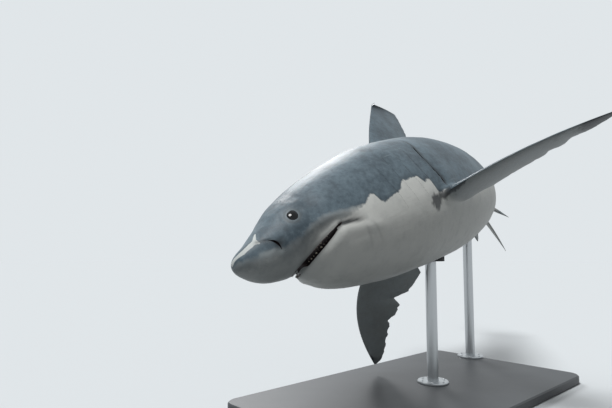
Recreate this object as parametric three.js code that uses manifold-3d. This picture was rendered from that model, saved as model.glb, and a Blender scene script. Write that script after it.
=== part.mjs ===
// Great white shark, life size, held in a banked glide over a plain display stand.
//
// Every shape of the animal is worked out in body places: at (just under 0 at the snout tip, 1 at the
// tip of the tail), side (towards the animal's left) and up, all as parts of the total length.
// bodyPoint() bends them along the spine and scales them to millimetres. In the finished model the
// snout points along -Y, the animal's left side is on +X, and the stand's underside is at Z = 0.

import * as THREE from 'three';
import { mergeVertices } from 'three/addons/utils/BufferGeometryUtils.js';
import Module from 'manifold-3d';

// ---------------------------------------------------------------- driving dimensions

const TOTAL_LENGTH = 4200;          // mm, snout tip to tail tip along the spine, to within 10 mm
const GAP = 0.4;                    // mm, thin cut between neighbouring pieces

// Pose over the stand, in radians and mm.
const NOSE_DOWN = THREE.MathUtils.degToRad(16.6);
const LEFT_SIDE_UP = THREE.MathUtils.degToRad(34.1);
const BODY_ORIGIN = new THREE.Vector3(70, -1540, 900);      // the place at 0 on the spine

// The tail swings to the right on an arc that starts behind the head.
const BEND_START = 0.22;
const BEND_RATE = -0.98;            // radians of heading for one total length

// Cross-sections: place along the body, height of the back and the belly, half width, height of the
// widest line, and low, the fullness of the lower half: the lower jaw is slimmer below than a trunk.
const STATIONS = [
  { at: -0.006, back: 0.0000, belly: -0.0030, half: 0.0000, middle: -0.0018, low: 0.92 },
  { at: 0.004, back: 0.0108, belly: -0.0165, half: 0.0168, middle: -0.0020, low: 0.90 },
  { at: 0.016, back: 0.0162, belly: -0.0262, half: 0.0242, middle: -0.0016, low: 0.90 },
  { at: 0.032, back: 0.0246, belly: -0.0325, half: 0.0316, middle: -0.0012, low: 0.90 },
  { at: 0.046, back: 0.0326, belly: -0.0348, half: 0.0377, middle: -0.0006, low: 0.95 },
  { at: 0.058, back: 0.0412, belly: -0.0362, half: 0.0434, middle: 0.0000, low: 1.10 },
  { at: 0.074, back: 0.0506, belly: -0.0380, half: 0.0499, middle: 0.0000, low: 1.24 },
  { at: 0.092, back: 0.0582, belly: -0.0500, half: 0.0547, middle: 0.0000, low: 1.22 },
  { at: 0.115, back: 0.0662, belly: -0.0678, half: 0.0640, middle: -0.0010, low: 0.80 },
  { at: 0.180, back: 0.0845, belly: -0.0870, half: 0.0790, middle: -0.0020, low: 0.92 },
  { at: 0.270, back: 0.0990, belly: -0.0990, half: 0.0880, middle: -0.0020, low: 0.92 },
  { at: 0.380, back: 0.1030, belly: -0.1030, half: 0.0860, middle: -0.0010, low: 0.92 },
  { at: 0.500, back: 0.0910, belly: -0.0930, half: 0.0760, middle: 0.0000, low: 0.92 },
  { at: 0.620, back: 0.0670, belly: -0.0660, half: 0.0560, middle: 0.0000, low: 0.92 },
  { at: 0.740, back: 0.0410, belly: -0.0380, half: 0.0340, middle: 0.0000, low: 0.92 },
  { at: 0.830, back: 0.0240, belly: -0.0225, half: 0.0205, middle: 0.0000, low: 0.92 },
  { at: 0.870, back: 0.0200, belly: -0.0190, half: 0.0160, middle: 0.0000, low: 0.92 },
  { at: 0.912, back: 0.0070, belly: -0.0070, half: 0.0050, middle: 0.0000, low: 0.92 },
];
const SNOUT_START = STATIONS[0].at;
const HIGH_FULLNESS = 0.92;         // below 1 the upper half is a little fuller than an ellipse
const RING_POINTS = 32;
const TIP_SHARE = 0.0025;           // the snout's first ring stands this part of its length from the tip

// Side keels on the tail stock.
const KEEL = { start: 0.775, end: 0.905, height: 0.0105, spread: 0.26, ends: 1.2 };

// Lengths of body, each a piece of its own. steps is the number of ring spacings in it.
const LENGTHS = [
  { name: 'snout', from: SNOUT_START, to: 0.052, steps: 8 },
  { name: 'head', from: 0.052, to: 0.155, steps: 7 },
  { name: 'gill_region', from: 0.155, to: 0.312, steps: 6 },
  { name: 'trunk_front', from: 0.312, to: 0.445, steps: 4 },
  { name: 'trunk_middle', from: 0.445, to: 0.58, steps: 4 },
  { name: 'trunk_rear', from: 0.58, to: 0.715, steps: 4 },
  { name: 'tail_stock', from: 0.715, to: 0.862, steps: 7 },
];
const TAIL_ROOT = { from: 0.862, to: 0.910, steps: 4 };
const STOCK_END = { from: 0.762, to: 0.862, steps: 4 };

// Mouth: a straight upper lip line in side view that rises towards the corner, and a jaw held a little
// open below it, by a gap that is narrow at the front, opens as far as its widest place, stays wide and
// closes fast near the corner. The jaw's piece runs on under the cheek as far as its end.
const MOUTH = {
  front: { at: 0.0600, up: -0.0362 },
  corner: { at: 0.1130, up: -0.0202 },
  end: { at: 0.1600, up: -0.0290 },
  opening: 0.0062,
  narrow: 0.3,
  widest: 0.0820,
  closing: 7,
  steps: 5,
  cutFrom: 0.0500,
  deepest: -0.13,
  halfWidth: 0.12,
};
const TEETH = {
  perSide: 10, first: 0.068, beforeCorner: 0.012, crowding: 1.25, width: 15, smaller: 0.45, inset: 9,
  sink: 3, fill: 0.4, flatness: 0.5, turn: [0.25, 1.1],
};

const EYE = { at: 0.0685, up: 0.0142, radius: 34, depth: 17, sunk: 10 };

// Slits in the skin, as body places. A nostril curls down from its front end. The gill slits stand
// behind one another, evenly spaced, and the rear ones reach higher and lean back more at the top.
const NOSTRIL = {
  path: [[0.0312, 0.0016], [0.0392, -0.0040], [0.0390, -0.0146]],
  width: 16, depth: 20, steps: 5, thinEnd: 0.1,
};
const GILLS = {
  first: 0.2030, last: 0.2932, count: 5, top: [0.040, 0.064], bottom: -0.042, width: 5, depth: 16, steps: 4,
  lean: [0.006, 0.0175], leanUp: [0.010, 0.062], sweep: 0.2, sweepBelow: -0.002, thinEnd: 0.06,
};
// A slit's cutter: how far it stands out of the skin, in mm, and the part of its path over which the
// path's direction is taken.
const SLIT = { outside: 8, stride: 0.05 };

// Fins. v runs from the root (0) to the tip (1). The front edge starts at front, runs back by sweep and
// bows forward by bow. The chord is rootChord at the root and freeChord at freeAt, where the rear tip
// lies free, and from there narrows to tipChord with a swell in the middle. half is half the thickness
// at the root. Nicks are the worn notches of the rear edge.
const FIN_SECTION = [0, 0.06, 0.22, 0.52, 0.82, 1];
const FIN_ROUND = { gain: 2.2, rear: 0.85 };    // how soon a section swells, and how it runs out
const FIN_THINNING = 0.75;          // below 1 a fin keeps its thickness well out along its length
const FREE_TIP = 1.5;               // how sharply the rear tip stands off the root
const TIP_ROUNDING = 12;            // a higher power rounds the fin's tip later and more tightly
const TWIST_RISE = 0.7;             // below 1 a paired fin takes up its twist near the root
const EDGE = 0.75;                  // mm, half thickness of a fin's edge
const MIN_CHORD = 0.004;

const DORSAL = {
  name: 'dorsal_fin', front: 0.318, root: 0.075, tip: 0.2210, sweep: 0.174, bow: 0.012,
  rootChord: 0.127, freeChord: 0.156, freeAt: 0.32, tipChord: 0.096, swell: 0.004, half: 0.0085,
  flex: 0.006, steps: 14,
  nicks: [{ v: 0.40, cut: 0.004, width: 0.06 }, { v: 0.96, cut: 0.066, width: 0.10 }],
};
const SECOND_DORSAL = {
  name: 'second_dorsal_fin', front: 0.736, root: 0.030, tip: 0.0545, sweep: 0.024, bow: 0.001,
  rootChord: 0.019, freeChord: 0.023, freeAt: 0.55, tipChord: 0.005, swell: 0, half: 0.0020,
  flex: 0, steps: 5, nicks: [],
};
const ANAL = {
  name: 'anal_fin', front: 0.752, root: -0.026, tip: -0.0505, sweep: 0.024, bow: 0.001,
  rootChord: 0.019, freeChord: 0.022, freeAt: 0.5, tipChord: 0.005, swell: 0, half: 0.0020,
  flex: 0, steps: 5, nicks: [],
};

// Paired fins stand in the stiff frame at frameAt, side and up from its middle. The blade droops from
// the first angle at the root to the second at the tip, and its rear edge twists down as far as twist.
const PECTORAL = {
  frameAt: 0.30, front: 0.277, side: 0.050, up: -0.040, reach: 0.2495, bow: 0.016,
  rootChord: 0.073, freeChord: 0.110, freeAt: 0.22, tipChord: 0.021, swell: 0.013, half: 0.0092,
  rootTwist: 0.12, steps: 15,
};
const PECTORAL_LEFT = {
  ...PECTORAL, name: 'pectoral_fin_left', hand: 1, sweep: 0.083, droop: [0.10, 0.38], twist: 0.20,
  nicks: [{ v: 0.60, cut: 0.008, width: 0.05 }, { v: 0.74, cut: 0.012, width: 0.06 }],
};
const PECTORAL_RIGHT = {
  ...PECTORAL, name: 'pectoral_fin_right', hand: -1, reach: 0.251, sweep: 0.054, bow: 0.018,
  rootChord: 0.078, freeAt: 0.21, tipChord: 0.025, swell: -0.006, droop: [0.08, 1.05], twist: 1.07,
  nicks: [{ v: 0.42, cut: 0.018, width: 0.06 }, { v: 0.62, cut: 0.006, width: 0.05 }],
};
const PELVIC = {
  frameAt: 0.58, front: 0.560, side: 0.020, up: -0.046, reach: 0.054, sweep: 0.034, bow: 0.003,
  rootChord: 0.043, freeChord: 0.050, freeAt: 0.45, tipChord: 0.010, swell: 0.002, half: 0.0036,
  rootTwist: 0.1, twist: 0.1, droop: [1.2, 1.3], steps: 8, nicks: [],
};
const PELVIC_LEFT = { ...PELVIC, name: 'pelvic_fin_left', hand: 1 };
const PELVIC_RIGHT = { ...PELVIC, name: 'pelvic_fin_right', hand: -1 };

// Tail fin: the two lobes of a crescent, with a notch under the tip of the upper one.
const TAIL = {
  front: 0.857, fork: 0.922, half: 0.0055, steps: 10, cutFrom: 0.80, cutTo: 1.05, cutUp: 0.2, cutHalf: 0.06,
  upper: {
    tipAt: 0.996, tipUp: 0.150, bow: 0.012, hollow: 0.006, nicks: [{ v: 0.8, cut: 0.008, width: 0.1 }],
  },
  lower: { tipAt: 0.966, tipUp: -0.134, bow: 0.012, hollow: 0.005, nicks: [] },
};
const STOCK_CLEARANCE = 12;         // mm, keeps the lobes off the tail stock in front of their root

// Display stand, in mm from the middle of its underside.
const BASE = { width: 1250, length: 2300, height: 60, corner: 90, chamfer: 8 };
const ROD_RADIUS = 38;
const ROD_SIDES = 24;
const FLANGE = { radius: 105, height: 14 };
const PAD = { radius: 95, height: 34 };
const RODS = [{ name: 'front', at: 0.418 }, { name: 'rear', at: 0.655 }];

// ---------------------------------------------------------------- materials

function finish(color, roughness, metalness = 0) {
  return () => new THREE.MeshStandardMaterial({ color, roughness, metalness });
}

const slateSkin = finish('#56616a', 0.5);
const paleSkin = finish('#d9dcda', 0.5);
const finSkin = finish('#4b555d', 0.5);
const eyeBlack = finish('#0b0c0e', 0.08);
const standPaint = finish('#2c2e31', 0.45);
const standSteel = finish('#9a9ea2', 0.3, 1);
const padRubber = finish('#1b1c1d', 0.8);

// ---------------------------------------------------------------- the body's form

// Slopes of a curve through the stations that never swings past them.
function stationSlopes(places, values) {
  const rises = places.slice(1).map((place, i) => (values[i + 1] - values[i]) / (place - places[i]));
  const slopes = values.map((_, i) => {
    if (i === 0) return rises[0];
    if (i === values.length - 1) return rises[i - 1];
    const before = rises[i - 1];
    const after = rises[i];
    if (before * after <= 0) return 0;
    const near = places[i] - places[i - 1];
    const far = places[i + 1] - places[i];
    const first = 2 * far + near;
    const second = far + 2 * near;
    return (first + second) / (first / before + second / after);
  });
  return slopes;
}

// A smooth curve over the square root of the way from the snout tip, which rounds off the snout.
function stationCurve(key) {
  const places = STATIONS.map((station) => Math.sqrt(station.at - SNOUT_START));
  const values = STATIONS.map((station) => station[key]);
  const slopes = stationSlopes(places, values);
  return (at) => {
    const place = Math.sqrt(Math.max(at - SNOUT_START, 0));
    let i = places.findIndex((end, index) => index > 0 && place <= end);
    if (i < 0) i = places.length - 1;
    const width = places[i] - places[i - 1];
    const t = (place - places[i - 1]) / width;
    const square = t * t;
    const cube = square * t;
    return values[i - 1] * (2 * cube - 3 * square + 1) + slopes[i - 1] * width * (cube - 2 * square + t)
      + values[i] * (3 * square - 2 * cube) + slopes[i] * width * (cube - square);
  };
}

const backAt = stationCurve('back');
const bellyAt = stationCurve('belly');
const halfAt = stationCurve('half');
const middleAt = stationCurve('middle');
const lowFullnessAt = stationCurve('low');

// Turned heading and place of the spine, a straight line that runs into an arc.
function spine(at) {
  const arc = Math.max(at - BEND_START, 0);
  const heading = BEND_RATE * arc;
  if (arc === 0) return { along: at, side: 0, heading };
  return {
    along: BEND_START + Math.sin(heading) / BEND_RATE,
    side: (1 - Math.cos(heading)) / BEND_RATE,
    heading,
  };
}

function bodyPoint(at, side, up) {
  const { along, side: offset, heading } = spine(at);
  return new THREE.Vector3(
    offset + Math.cos(heading) * side,
    along - Math.sin(heading) * side,
    up,
  ).multiplyScalar(TOTAL_LENGTH);
}

// A point in the stiff frame that stands on the spine at frameAt, for fins that don't bend with it.
function framePoint(frameAt, at, side, up) {
  const origin = spine(frameAt);
  const cos = Math.cos(origin.heading);
  const sin = Math.sin(origin.heading);
  const back = at - frameAt;
  return new THREE.Vector3(
    origin.side + sin * back + cos * side,
    origin.along + cos * back - sin * side,
    up,
  ).multiplyScalar(TOTAL_LENGTH);
}

function keelHeight(at, angle) {
  const t = (at - KEEL.start) / (KEEL.end - KEEL.start);
  if (t <= 0 || t >= 1) return 0;
  const fromSide = Math.asin(Math.abs(Math.sin(angle)));
  return KEEL.height * Math.sin(Math.PI * t) ** KEEL.ends * Math.exp(-((fromSide / KEEL.spread) ** 2));
}

// One point of the cross-section at a place; grow (mm) makes the section larger all round.
function sectionPoint(at, angle, grow) {
  const extra = grow / TOTAL_LENGTH;
  const middle = middleAt(at);
  const lift = Math.sin(angle);
  const reach = lift >= 0 ? backAt(at) - middle : middle - bellyAt(at);
  const side = (halfAt(at) + extra + keelHeight(at, angle)) * Math.cos(angle);
  const fullness = lift >= 0 ? HIGH_FULLNESS : lowFullnessAt(at);
  const up = middle + Math.sign(lift) * (reach + extra) * Math.abs(lift) ** fullness;
  return bodyPoint(at, side, up);
}

// Half width of the body at a place and a height below its widest line.
function skinSide(at, up) {
  const middle = middleAt(at);
  const share = Math.min((middle - up) / (middle - bellyAt(at)), 1);
  return halfAt(at) * Math.sqrt(Math.max(1 - share ** (2 / lowFullnessAt(at)), 0));
}

// ---------------------------------------------------------------- solids

// A closed solid from rings of points, with a fan at each end. The rings run the same way round.
function ringSolid(rings) {
  const count = rings[0].length;
  const points = rings.flat();
  const middles = [rings[0], rings[rings.length - 1]].map((ring) => {
    const sum = ring.reduce((total, point) => total.add(point), new THREE.Vector3());
    return sum.divideScalar(count);
  });
  const first = points.length;
  const indices = [];
  for (let r = 0; r < rings.length - 1; r += 1) {
    for (let i = 0; i < count; i += 1) {
      const a = r * count + i;
      const b = r * count + (i + 1) % count;
      indices.push(a, b, b + count, a, b + count, a + count);
    }
  }
  const last = (rings.length - 1) * count;
  for (let i = 0; i < count; i += 1) {
    const next = (i + 1) % count;
    indices.push(first, next, i);
    indices.push(first + 1, last + i, last + next);
  }
  const geometry = new THREE.BufferGeometry().setFromPoints([...points, ...middles]);
  geometry.setIndex(indices);
  return geometry;
}

const wasm = await Module();
wasm.setup();

function toManifold(geometry) {
  const bare = geometry.clone();
  bare.deleteAttribute('normal');
  bare.deleteAttribute('uv');
  const merged = mergeVertices(bare, 1e-4);
  const mesh = new wasm.Mesh({
    numProp: 3,
    vertProperties: new Float32Array(merged.attributes.position.array),
    triVerts: new Uint32Array(merged.index.array),
  });
  const result = new wasm.Manifold(mesh);
  if (result.volume() > 0) return result;
  const flipped = new Uint32Array(merged.index.array);
  for (let i = 0; i < flipped.length; i += 3) {
    [flipped[i], flipped[i + 1]] = [flipped[i + 1], flipped[i]];
  }
  const vertProperties = new Float32Array(merged.attributes.position.array);
  return new wasm.Manifold(new wasm.Mesh({ numProp: 3, vertProperties, triVerts: flipped }));
}

function toGeometry(manifold) {
  const mesh = manifold.getMesh();
  const geometry = new THREE.BufferGeometry();
  geometry.setAttribute('position', new THREE.BufferAttribute(new Float32Array(mesh.vertProperties), 3));
  geometry.setIndex(new THREE.BufferAttribute(new Uint32Array(mesh.triVerts), 1));
  return geometry;
}

function node(name, manifold, material) {
  const mesh = new THREE.Mesh(toGeometry(manifold), material());
  mesh.name = name;
  return mesh;
}

// ---------------------------------------------------------------- body lengths

function bodyRings(from, to, steps, grow) {
  const rings = [];
  for (let step = 0; step <= steps; step += 1) {
    const t = step / steps;
    // The snout's rings crowd towards its tip, where it rounds off.
    const share = from === SNOUT_START ? TIP_SHARE + (1 - TIP_SHARE) * t ** 2 : t;
    const at = from + (to - from) * share;
    const ring = [];
    for (let i = 0; i < RING_POINTS; i += 1) {
      ring.push(sectionPoint(at, (2 * Math.PI * i) / RING_POINTS, grow));
    }
    rings.push(ring);
  }
  return rings;
}

function bodyLength({ from, to, steps }, grow = 0) {
  const half = grow > 0 ? 0 : GAP / 2 / TOTAL_LENGTH;
  const start = from === SNOUT_START ? from : from + half;
  return toManifold(ringSolid(bodyRings(start, to - half, steps, grow)));
}

// A prism across the animal, from an outline of body places seen from its side.
function sidePrism(outline, halfWidth) {
  const rings = [-halfWidth, halfWidth].map((side) => outline.map(([at, up]) => bodyPoint(at, side, up)));
  return toManifold(ringSolid(rings));
}

const lipSlope = (MOUTH.corner.up - MOUTH.front.up) / (MOUTH.corner.at - MOUTH.front.at);
const lipAt = (at) => MOUTH.front.up + (at - MOUTH.front.at) * lipSlope;
const closedShare = (at) => (at - MOUTH.cutFrom) / (MOUTH.corner.at - MOUTH.cutFrom);
const openingAt = (at) => {
  const opened = THREE.MathUtils.smoothstep(at, MOUTH.front.at, MOUTH.widest);
  const share = THREE.MathUtils.lerp(MOUTH.narrow, 1, opened);
  return MOUTH.opening * share * (1 - closedShare(at) ** MOUTH.closing);
};

// All that lies under the upper lip line (drop 0), or under the jaw's own edge (drop 1).
function underLip(drop) {
  const gap = (GAP / TOTAL_LENGTH) * drop;
  const outline = [];
  for (let step = 0; step <= MOUTH.steps * drop; step += 1) {
    const at = THREE.MathUtils.lerp(MOUTH.cutFrom, MOUTH.corner.at, step / MOUTH.steps);
    outline.push([at, lipAt(at) - openingAt(at) * drop - gap]);
  }
  if (drop === 0) outline.push([MOUTH.corner.at, MOUTH.corner.up]);
  outline.push(
    [MOUTH.end.at, MOUTH.end.up - gap],
    [MOUTH.end.at, MOUTH.deepest],
    [MOUTH.cutFrom, MOUTH.deepest],
  );
  return sidePrism(outline, MOUTH.halfWidth);
}

// Small three-edged teeth along both sides of the mouth, pointing down (-1) or up (1).
function toothRow(way) {
  const teeth = [];
  const inset = TEETH.inset / TOTAL_LENGTH;
  const lastTooth = MOUTH.corner.at - TEETH.beforeCorner;
  for (const hand of [1, -1]) {
    for (let i = 0; i < TEETH.perSide; i += 1) {
      const t = (i + (way > 0 ? 0.5 : 0)) / TEETH.perSide;
      const at = TEETH.first + (lastTooth - TEETH.first) * t ** TEETH.crowding;
      const gap = openingAt(at);
      const up = way > 0 ? lipAt(at) - gap : lipAt(at);
      const side = skinSide(at, up) - inset;
      if (side < inset) continue;
      const height = gap * TOTAL_LENGTH * TEETH.fill;
      const radius = (TEETH.width / 2) * (1 - TEETH.smaller * t);
      const cone = new THREE.ConeGeometry(radius, height + TEETH.sink, 3);
      cone.scale(1, 1, TEETH.flatness);
      cone.rotateX(way * Math.PI / 2);
      cone.rotateZ(hand * (TEETH.turn[0] + TEETH.turn[1] * t));
      const middle = bodyPoint(at, hand * side, up);
      middle.z += way * (height - TEETH.sink) / 2;
      cone.translate(middle.x, middle.y, middle.z);
      teeth.push(toManifold(cone));
    }
  }
  return teeth;
}

// ---------------------------------------------------------------- eyes, nostrils and gill slits

// Outward direction of the body's surface at a place, from short steps along it and round it.
function outward(at, angle) {
  const step = 0.002;
  const turn = 0.02;
  const along = sectionPoint(at + step, angle, 0).sub(sectionPoint(at - step, angle, 0));
  const round = sectionPoint(at, angle + turn, 0).sub(sectionPoint(at, angle - turn, 0));
  const normal = along.cross(round).normalize();
  const away = sectionPoint(at, angle, 0).sub(bodyPoint(at, 0, middleAt(at)));
  return normal.dot(away) < 0 ? normal.negate() : normal;
}

function angleAt(at, up, hand) {
  const middle = middleAt(at);
  const reach = up >= middle ? backAt(at) - middle : middle - bellyAt(at);
  const fullness = up >= middle ? HIGH_FULLNESS : lowFullnessAt(at);
  const lift = Math.sign(up - middle) * (Math.abs(up - middle) / reach) ** (1 / fullness);
  return hand > 0 ? Math.asin(lift) : Math.PI - Math.asin(lift);
}

// Turns a shape made on the axis +Z into the surface at a place and sinks it in.
function setIn(geometry, at, up, hand, sunk) {
  const angle = angleAt(at, up, hand);
  const normal = outward(at, angle);
  const place = sectionPoint(at, angle, 0).addScaledVector(normal, -sunk);
  const ahead = new THREE.Vector3(0, -1, 0).addScaledVector(normal, normal.y).normalize();
  const across = new THREE.Vector3().crossVectors(normal, ahead);
  const turn = new THREE.Matrix4().makeBasis(ahead, across, normal);
  geometry.applyMatrix4(turn);
  geometry.translate(place.x, place.y, place.z);
  return toManifold(geometry);
}

function eyeball(hand, grow = 0) {
  const globe = new THREE.SphereGeometry(1, 14, 8);
  globe.scale(EYE.radius + grow, EYE.radius + grow, EYE.depth + grow);
  return setIn(globe, EYE.at, EYE.up, hand, EYE.sunk);
}

// A thin blade that follows a path over the body's side. The path gives body places from 0 to 1.
function slit(path, shape, hand) {
  const along = (t) => {
    const [at, up] = path(t);
    return sectionPoint(at, angleAt(at, up, hand), 0);
  };
  const rings = [];
  for (let step = 0; step <= shape.steps; step += 1) {
    const t = step / shape.steps;
    const [at, up] = path(t);
    const skin = along(t);
    const normal = outward(at, angleAt(at, up, hand));
    const ahead = along(Math.min(t + SLIT.stride, 1)).sub(along(Math.max(t - SLIT.stride, 0)));
    // The slit narrows to a thin end at the top and the bottom.
    const half = (shape.width / 2) * Math.sin(Math.PI * (shape.thinEnd + (1 - 2 * shape.thinEnd) * t));
    const across = ahead.cross(normal).setLength(half);
    const out = skin.clone().addScaledVector(normal, SLIT.outside);
    const inner = skin.clone().addScaledVector(normal, -shape.depth);
    rings.push([
      out.clone().sub(across), inner.clone().sub(across), inner.clone().add(across), out.clone().add(across),
    ]);
  }
  return toManifold(ringSolid(rings));
}

function nostril(hand) {
  const curve = new THREE.QuadraticBezierCurve(...NOSTRIL.path.map(([at, up]) => new THREE.Vector2(at, up)));
  return slit((t) => curve.getPoint(t).toArray(), NOSTRIL, hand);
}

function gillSlit(share, hand) {
  const rise = share ** 2;
  const top = THREE.MathUtils.lerp(...GILLS.top, rise);
  const lean = THREE.MathUtils.lerp(...GILLS.lean, rise);
  return slit((t) => {
    const up = THREE.MathUtils.lerp(GILLS.bottom, top, t);
    const back = lean * THREE.MathUtils.smoothstep(up, ...GILLS.leanUp);
    const swept = GILLS.sweep * Math.max(GILLS.sweepBelow - up, 0);
    return [THREE.MathUtils.lerp(GILLS.first, GILLS.last, share) + back + swept, up];
  }, GILLS, hand);
}

function gillSlits() {
  const slits = [];
  for (let i = 0; i < GILLS.count; i += 1) {
    const share = i / (GILLS.count - 1);
    slits.push(gillSlit(share, 1), gillSlit(share, -1));
  }
  return slits;
}

// ---------------------------------------------------------------- fins

function nickDepth(nicks, v) {
  return nicks.reduce((depth, nick) => {
    const off = Math.abs(v - nick.v) / nick.width;
    return depth + (off < 1 ? nick.cut * (1 - off) : 0);
  }, 0);
}

function frontEdge(fin, v) {
  return fin.front + fin.sweep * v - fin.bow * Math.sin(Math.PI * v);
}

function chordAt(fin, v) {
  let chord;
  if (v < fin.freeAt) {
    chord = fin.rootChord + (fin.freeChord - fin.rootChord) * (v / fin.freeAt) ** FREE_TIP;
  } else {
    const t = (v - fin.freeAt) / (1 - fin.freeAt);
    chord = fin.freeChord + (fin.tipChord - fin.freeChord) * t + fin.swell * Math.sin(Math.PI * t);
  }
  const rounding = Math.sqrt(1 - v ** TIP_ROUNDING);
  return Math.max(chord * rounding - nickDepth(fin.nicks, v), MIN_CHORD);
}

// Ring of a fin's cross-section: place() turns a share of the chord and a thickness into a point.
function finRing(half, place) {
  const edge = EDGE / TOTAL_LENGTH;
  const halves = FIN_SECTION.map((x) => {
    const swell = FIN_ROUND.gain * Math.sqrt(x) * (1 - x) ** FIN_ROUND.rear;
    return edge + half * Math.min(swell, 1);
  });
  const upper = FIN_SECTION.map((x, i) => place(x, halves[i]));
  const lower = FIN_SECTION.map((x, i) => place(x, -halves[i])).reverse();
  return [...upper, ...lower];
}

function finRings(fin, steps, half, place) {
  const rings = [];
  for (let step = 0; step <= steps; step += 1) {
    const v = step / steps;
    rings.push(finRing(half * (1 - v) ** FIN_THINNING, (share, thick) => place(v, share, thick)));
  }
  return ringSolid(rings);
}

function uprightFin(fin) {
  const rings = finRings(fin, fin.steps, fin.half, (v, share, thick) => {
    const at = frontEdge(fin, v) + chordAt(fin, v) * share;
    return bodyPoint(at, thick + fin.flex * v * share ** 2, fin.root + (fin.tip - fin.root) * v);
  });
  return toManifold(rings);
}

function pairedFin(fin) {
  const [root, tip] = fin.droop;
  const turn = tip - root;
  const rings = finRings(fin, fin.steps, fin.half, (v, share, thick) => {
    const droop = root + turn * v;
    const out = (fin.reach * (Math.sin(droop) - Math.sin(root))) / turn;
    const down = (fin.reach * (Math.cos(root) - Math.cos(droop))) / turn;
    const twist = fin.rootTwist + (fin.twist - fin.rootTwist) * v ** TWIST_RISE;
    const chord = chordAt(fin, v) * share;
    const lift = thick * Math.cos(twist) - chord * Math.sin(twist);
    const at = frontEdge(fin, v) + chord * Math.cos(twist) + thick * Math.sin(twist);
    const side = fin.side + out + lift * Math.sin(droop);
    return framePoint(fin.frameAt, at, fin.hand * side, fin.up - down + lift * Math.cos(droop));
  });
  return toManifold(rings);
}

function tailLobe(lobe) {
  const rings = finRings(lobe, TAIL.steps, TAIL.half, (v, share, thick) => {
    const lead = TAIL.front + (lobe.tipAt - TAIL.front) * v - lobe.bow * Math.sin(Math.PI * v);
    const straight = TAIL.fork + (lobe.tipAt - TAIL.fork) * v;
    const hollow = lobe.hollow * Math.sin(Math.PI * v) + nickDepth(lobe.nicks, v);
    const trail = Math.max(straight - hollow, lead + MIN_CHORD);
    return bodyPoint(lead + (trail - lead) * share, thick, lobe.tipUp * v);
  });
  return toManifold(rings);
}

// ---------------------------------------------------------------- the animal

const shark = new THREE.Group();
shark.position.copy(BODY_ORIGIN);
shark.rotation.set(NOSE_DOWN, -LEFT_SIDE_UP, 0);
shark.updateMatrixWorld(true);

const grown = LENGTHS.map((length) => bodyLength(length, GAP));
const bodyCutter = grown.reduce((all, length) => all.add(length));

for (const length of LENGTHS) {
  let piece = bodyLength(length);
  if (length.name === 'snout') {
    piece = piece.subtract(nostril(1)).subtract(nostril(-1));
  }
  if (length.name === 'head') {
    let jaw = piece.intersect(underLip(1));
    piece = piece.subtract(underLip(0));
    for (const hand of [1, -1]) {
      piece = piece.subtract(eyeball(hand, GAP));
    }
    for (const tooth of toothRow(-1)) piece = piece.add(tooth);
    for (const tooth of toothRow(1)) jaw = jaw.add(tooth);
    shark.add(node('lower_jaw', jaw, paleSkin));
  }
  if (length.name === 'gill_region') {
    for (const slit of gillSlits()) piece = piece.subtract(slit);
  }
  shark.add(node(length.name, piece, slateSkin));
}

for (const [name, hand] of [['eye_left', 1], ['eye_right', -1]]) {
  shark.add(node(name, eyeball(hand), eyeBlack));
}

for (const fin of [DORSAL, SECOND_DORSAL, ANAL]) {
  shark.add(node(fin.name, uprightFin(fin).subtract(bodyCutter), finSkin));
}

for (const fin of [PECTORAL_LEFT, PECTORAL_RIGHT, PELVIC_LEFT, PELVIC_RIGHT]) {
  shark.add(node(fin.name, pairedFin(fin).subtract(bodyCutter), finSkin));
}

const tailRoot = bodyLength(TAIL_ROOT);
const stockCutter = bodyLength(STOCK_END, STOCK_CLEARANCE);
const split = GAP / 2 / TOTAL_LENGTH;
for (const [name, lobe, way] of [['tail_fin_upper', TAIL.upper, 1], ['tail_fin_lower', TAIL.lower, -1]]) {
  const half = sidePrism([
    [TAIL.cutFrom, way * split],
    [TAIL.cutTo, way * split],
    [TAIL.cutTo, way * TAIL.cutUp],
    [TAIL.cutFrom, way * TAIL.cutUp],
  ], TAIL.cutHalf);
  const whole = tailRoot.add(tailLobe(lobe)).subtract(stockCutter);
  shark.add(node(name, whole.intersect(half), finSkin));
}

// ---------------------------------------------------------------- display stand

function cylinder(radius, bottom, top, x, y) {
  const geometry = new THREE.CylinderGeometry(radius, radius, top - bottom, ROD_SIDES);
  geometry.rotateX(Math.PI / 2);
  geometry.translate(x, y, (top + bottom) / 2);
  return toManifold(geometry);
}

function roundedPlate({ width, length, height, corner, chamfer }) {
  const outline = new THREE.Shape();
  const x = width / 2 - chamfer;
  const y = length / 2 - chamfer;
  outline.moveTo(x - corner, -y);
  outline.absarc(x - corner, -y + corner, corner, -Math.PI / 2, 0);
  outline.absarc(x - corner, y - corner, corner, 0, Math.PI / 2);
  outline.absarc(-x + corner, y - corner, corner, Math.PI / 2, Math.PI);
  outline.absarc(-x + corner, -y + corner, corner, Math.PI, 1.5 * Math.PI);
  const plate = new THREE.ExtrudeGeometry(outline, {
    depth: height - 2 * chamfer,
    curveSegments: 4,
    bevelSize: chamfer,
    bevelThickness: chamfer,
    bevelSegments: 1,
  });
  plate.translate(0, 0, chamfer);
  return toManifold(plate);
}

const placedBody = bodyCutter.transform(shark.matrixWorld.elements);

// Height of the lowest skin over a pad, from a column that the body cuts off.
function lowestSkin({ x, y, z }) {
  const column = cylinder(PAD.radius, BASE.height, z, x, y).intersect(placedBody);
  return column.boundingBox().min[2];
}

const stand = new THREE.Group();
stand.add(node('stand_base', roundedPlate(BASE), standPaint));

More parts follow.
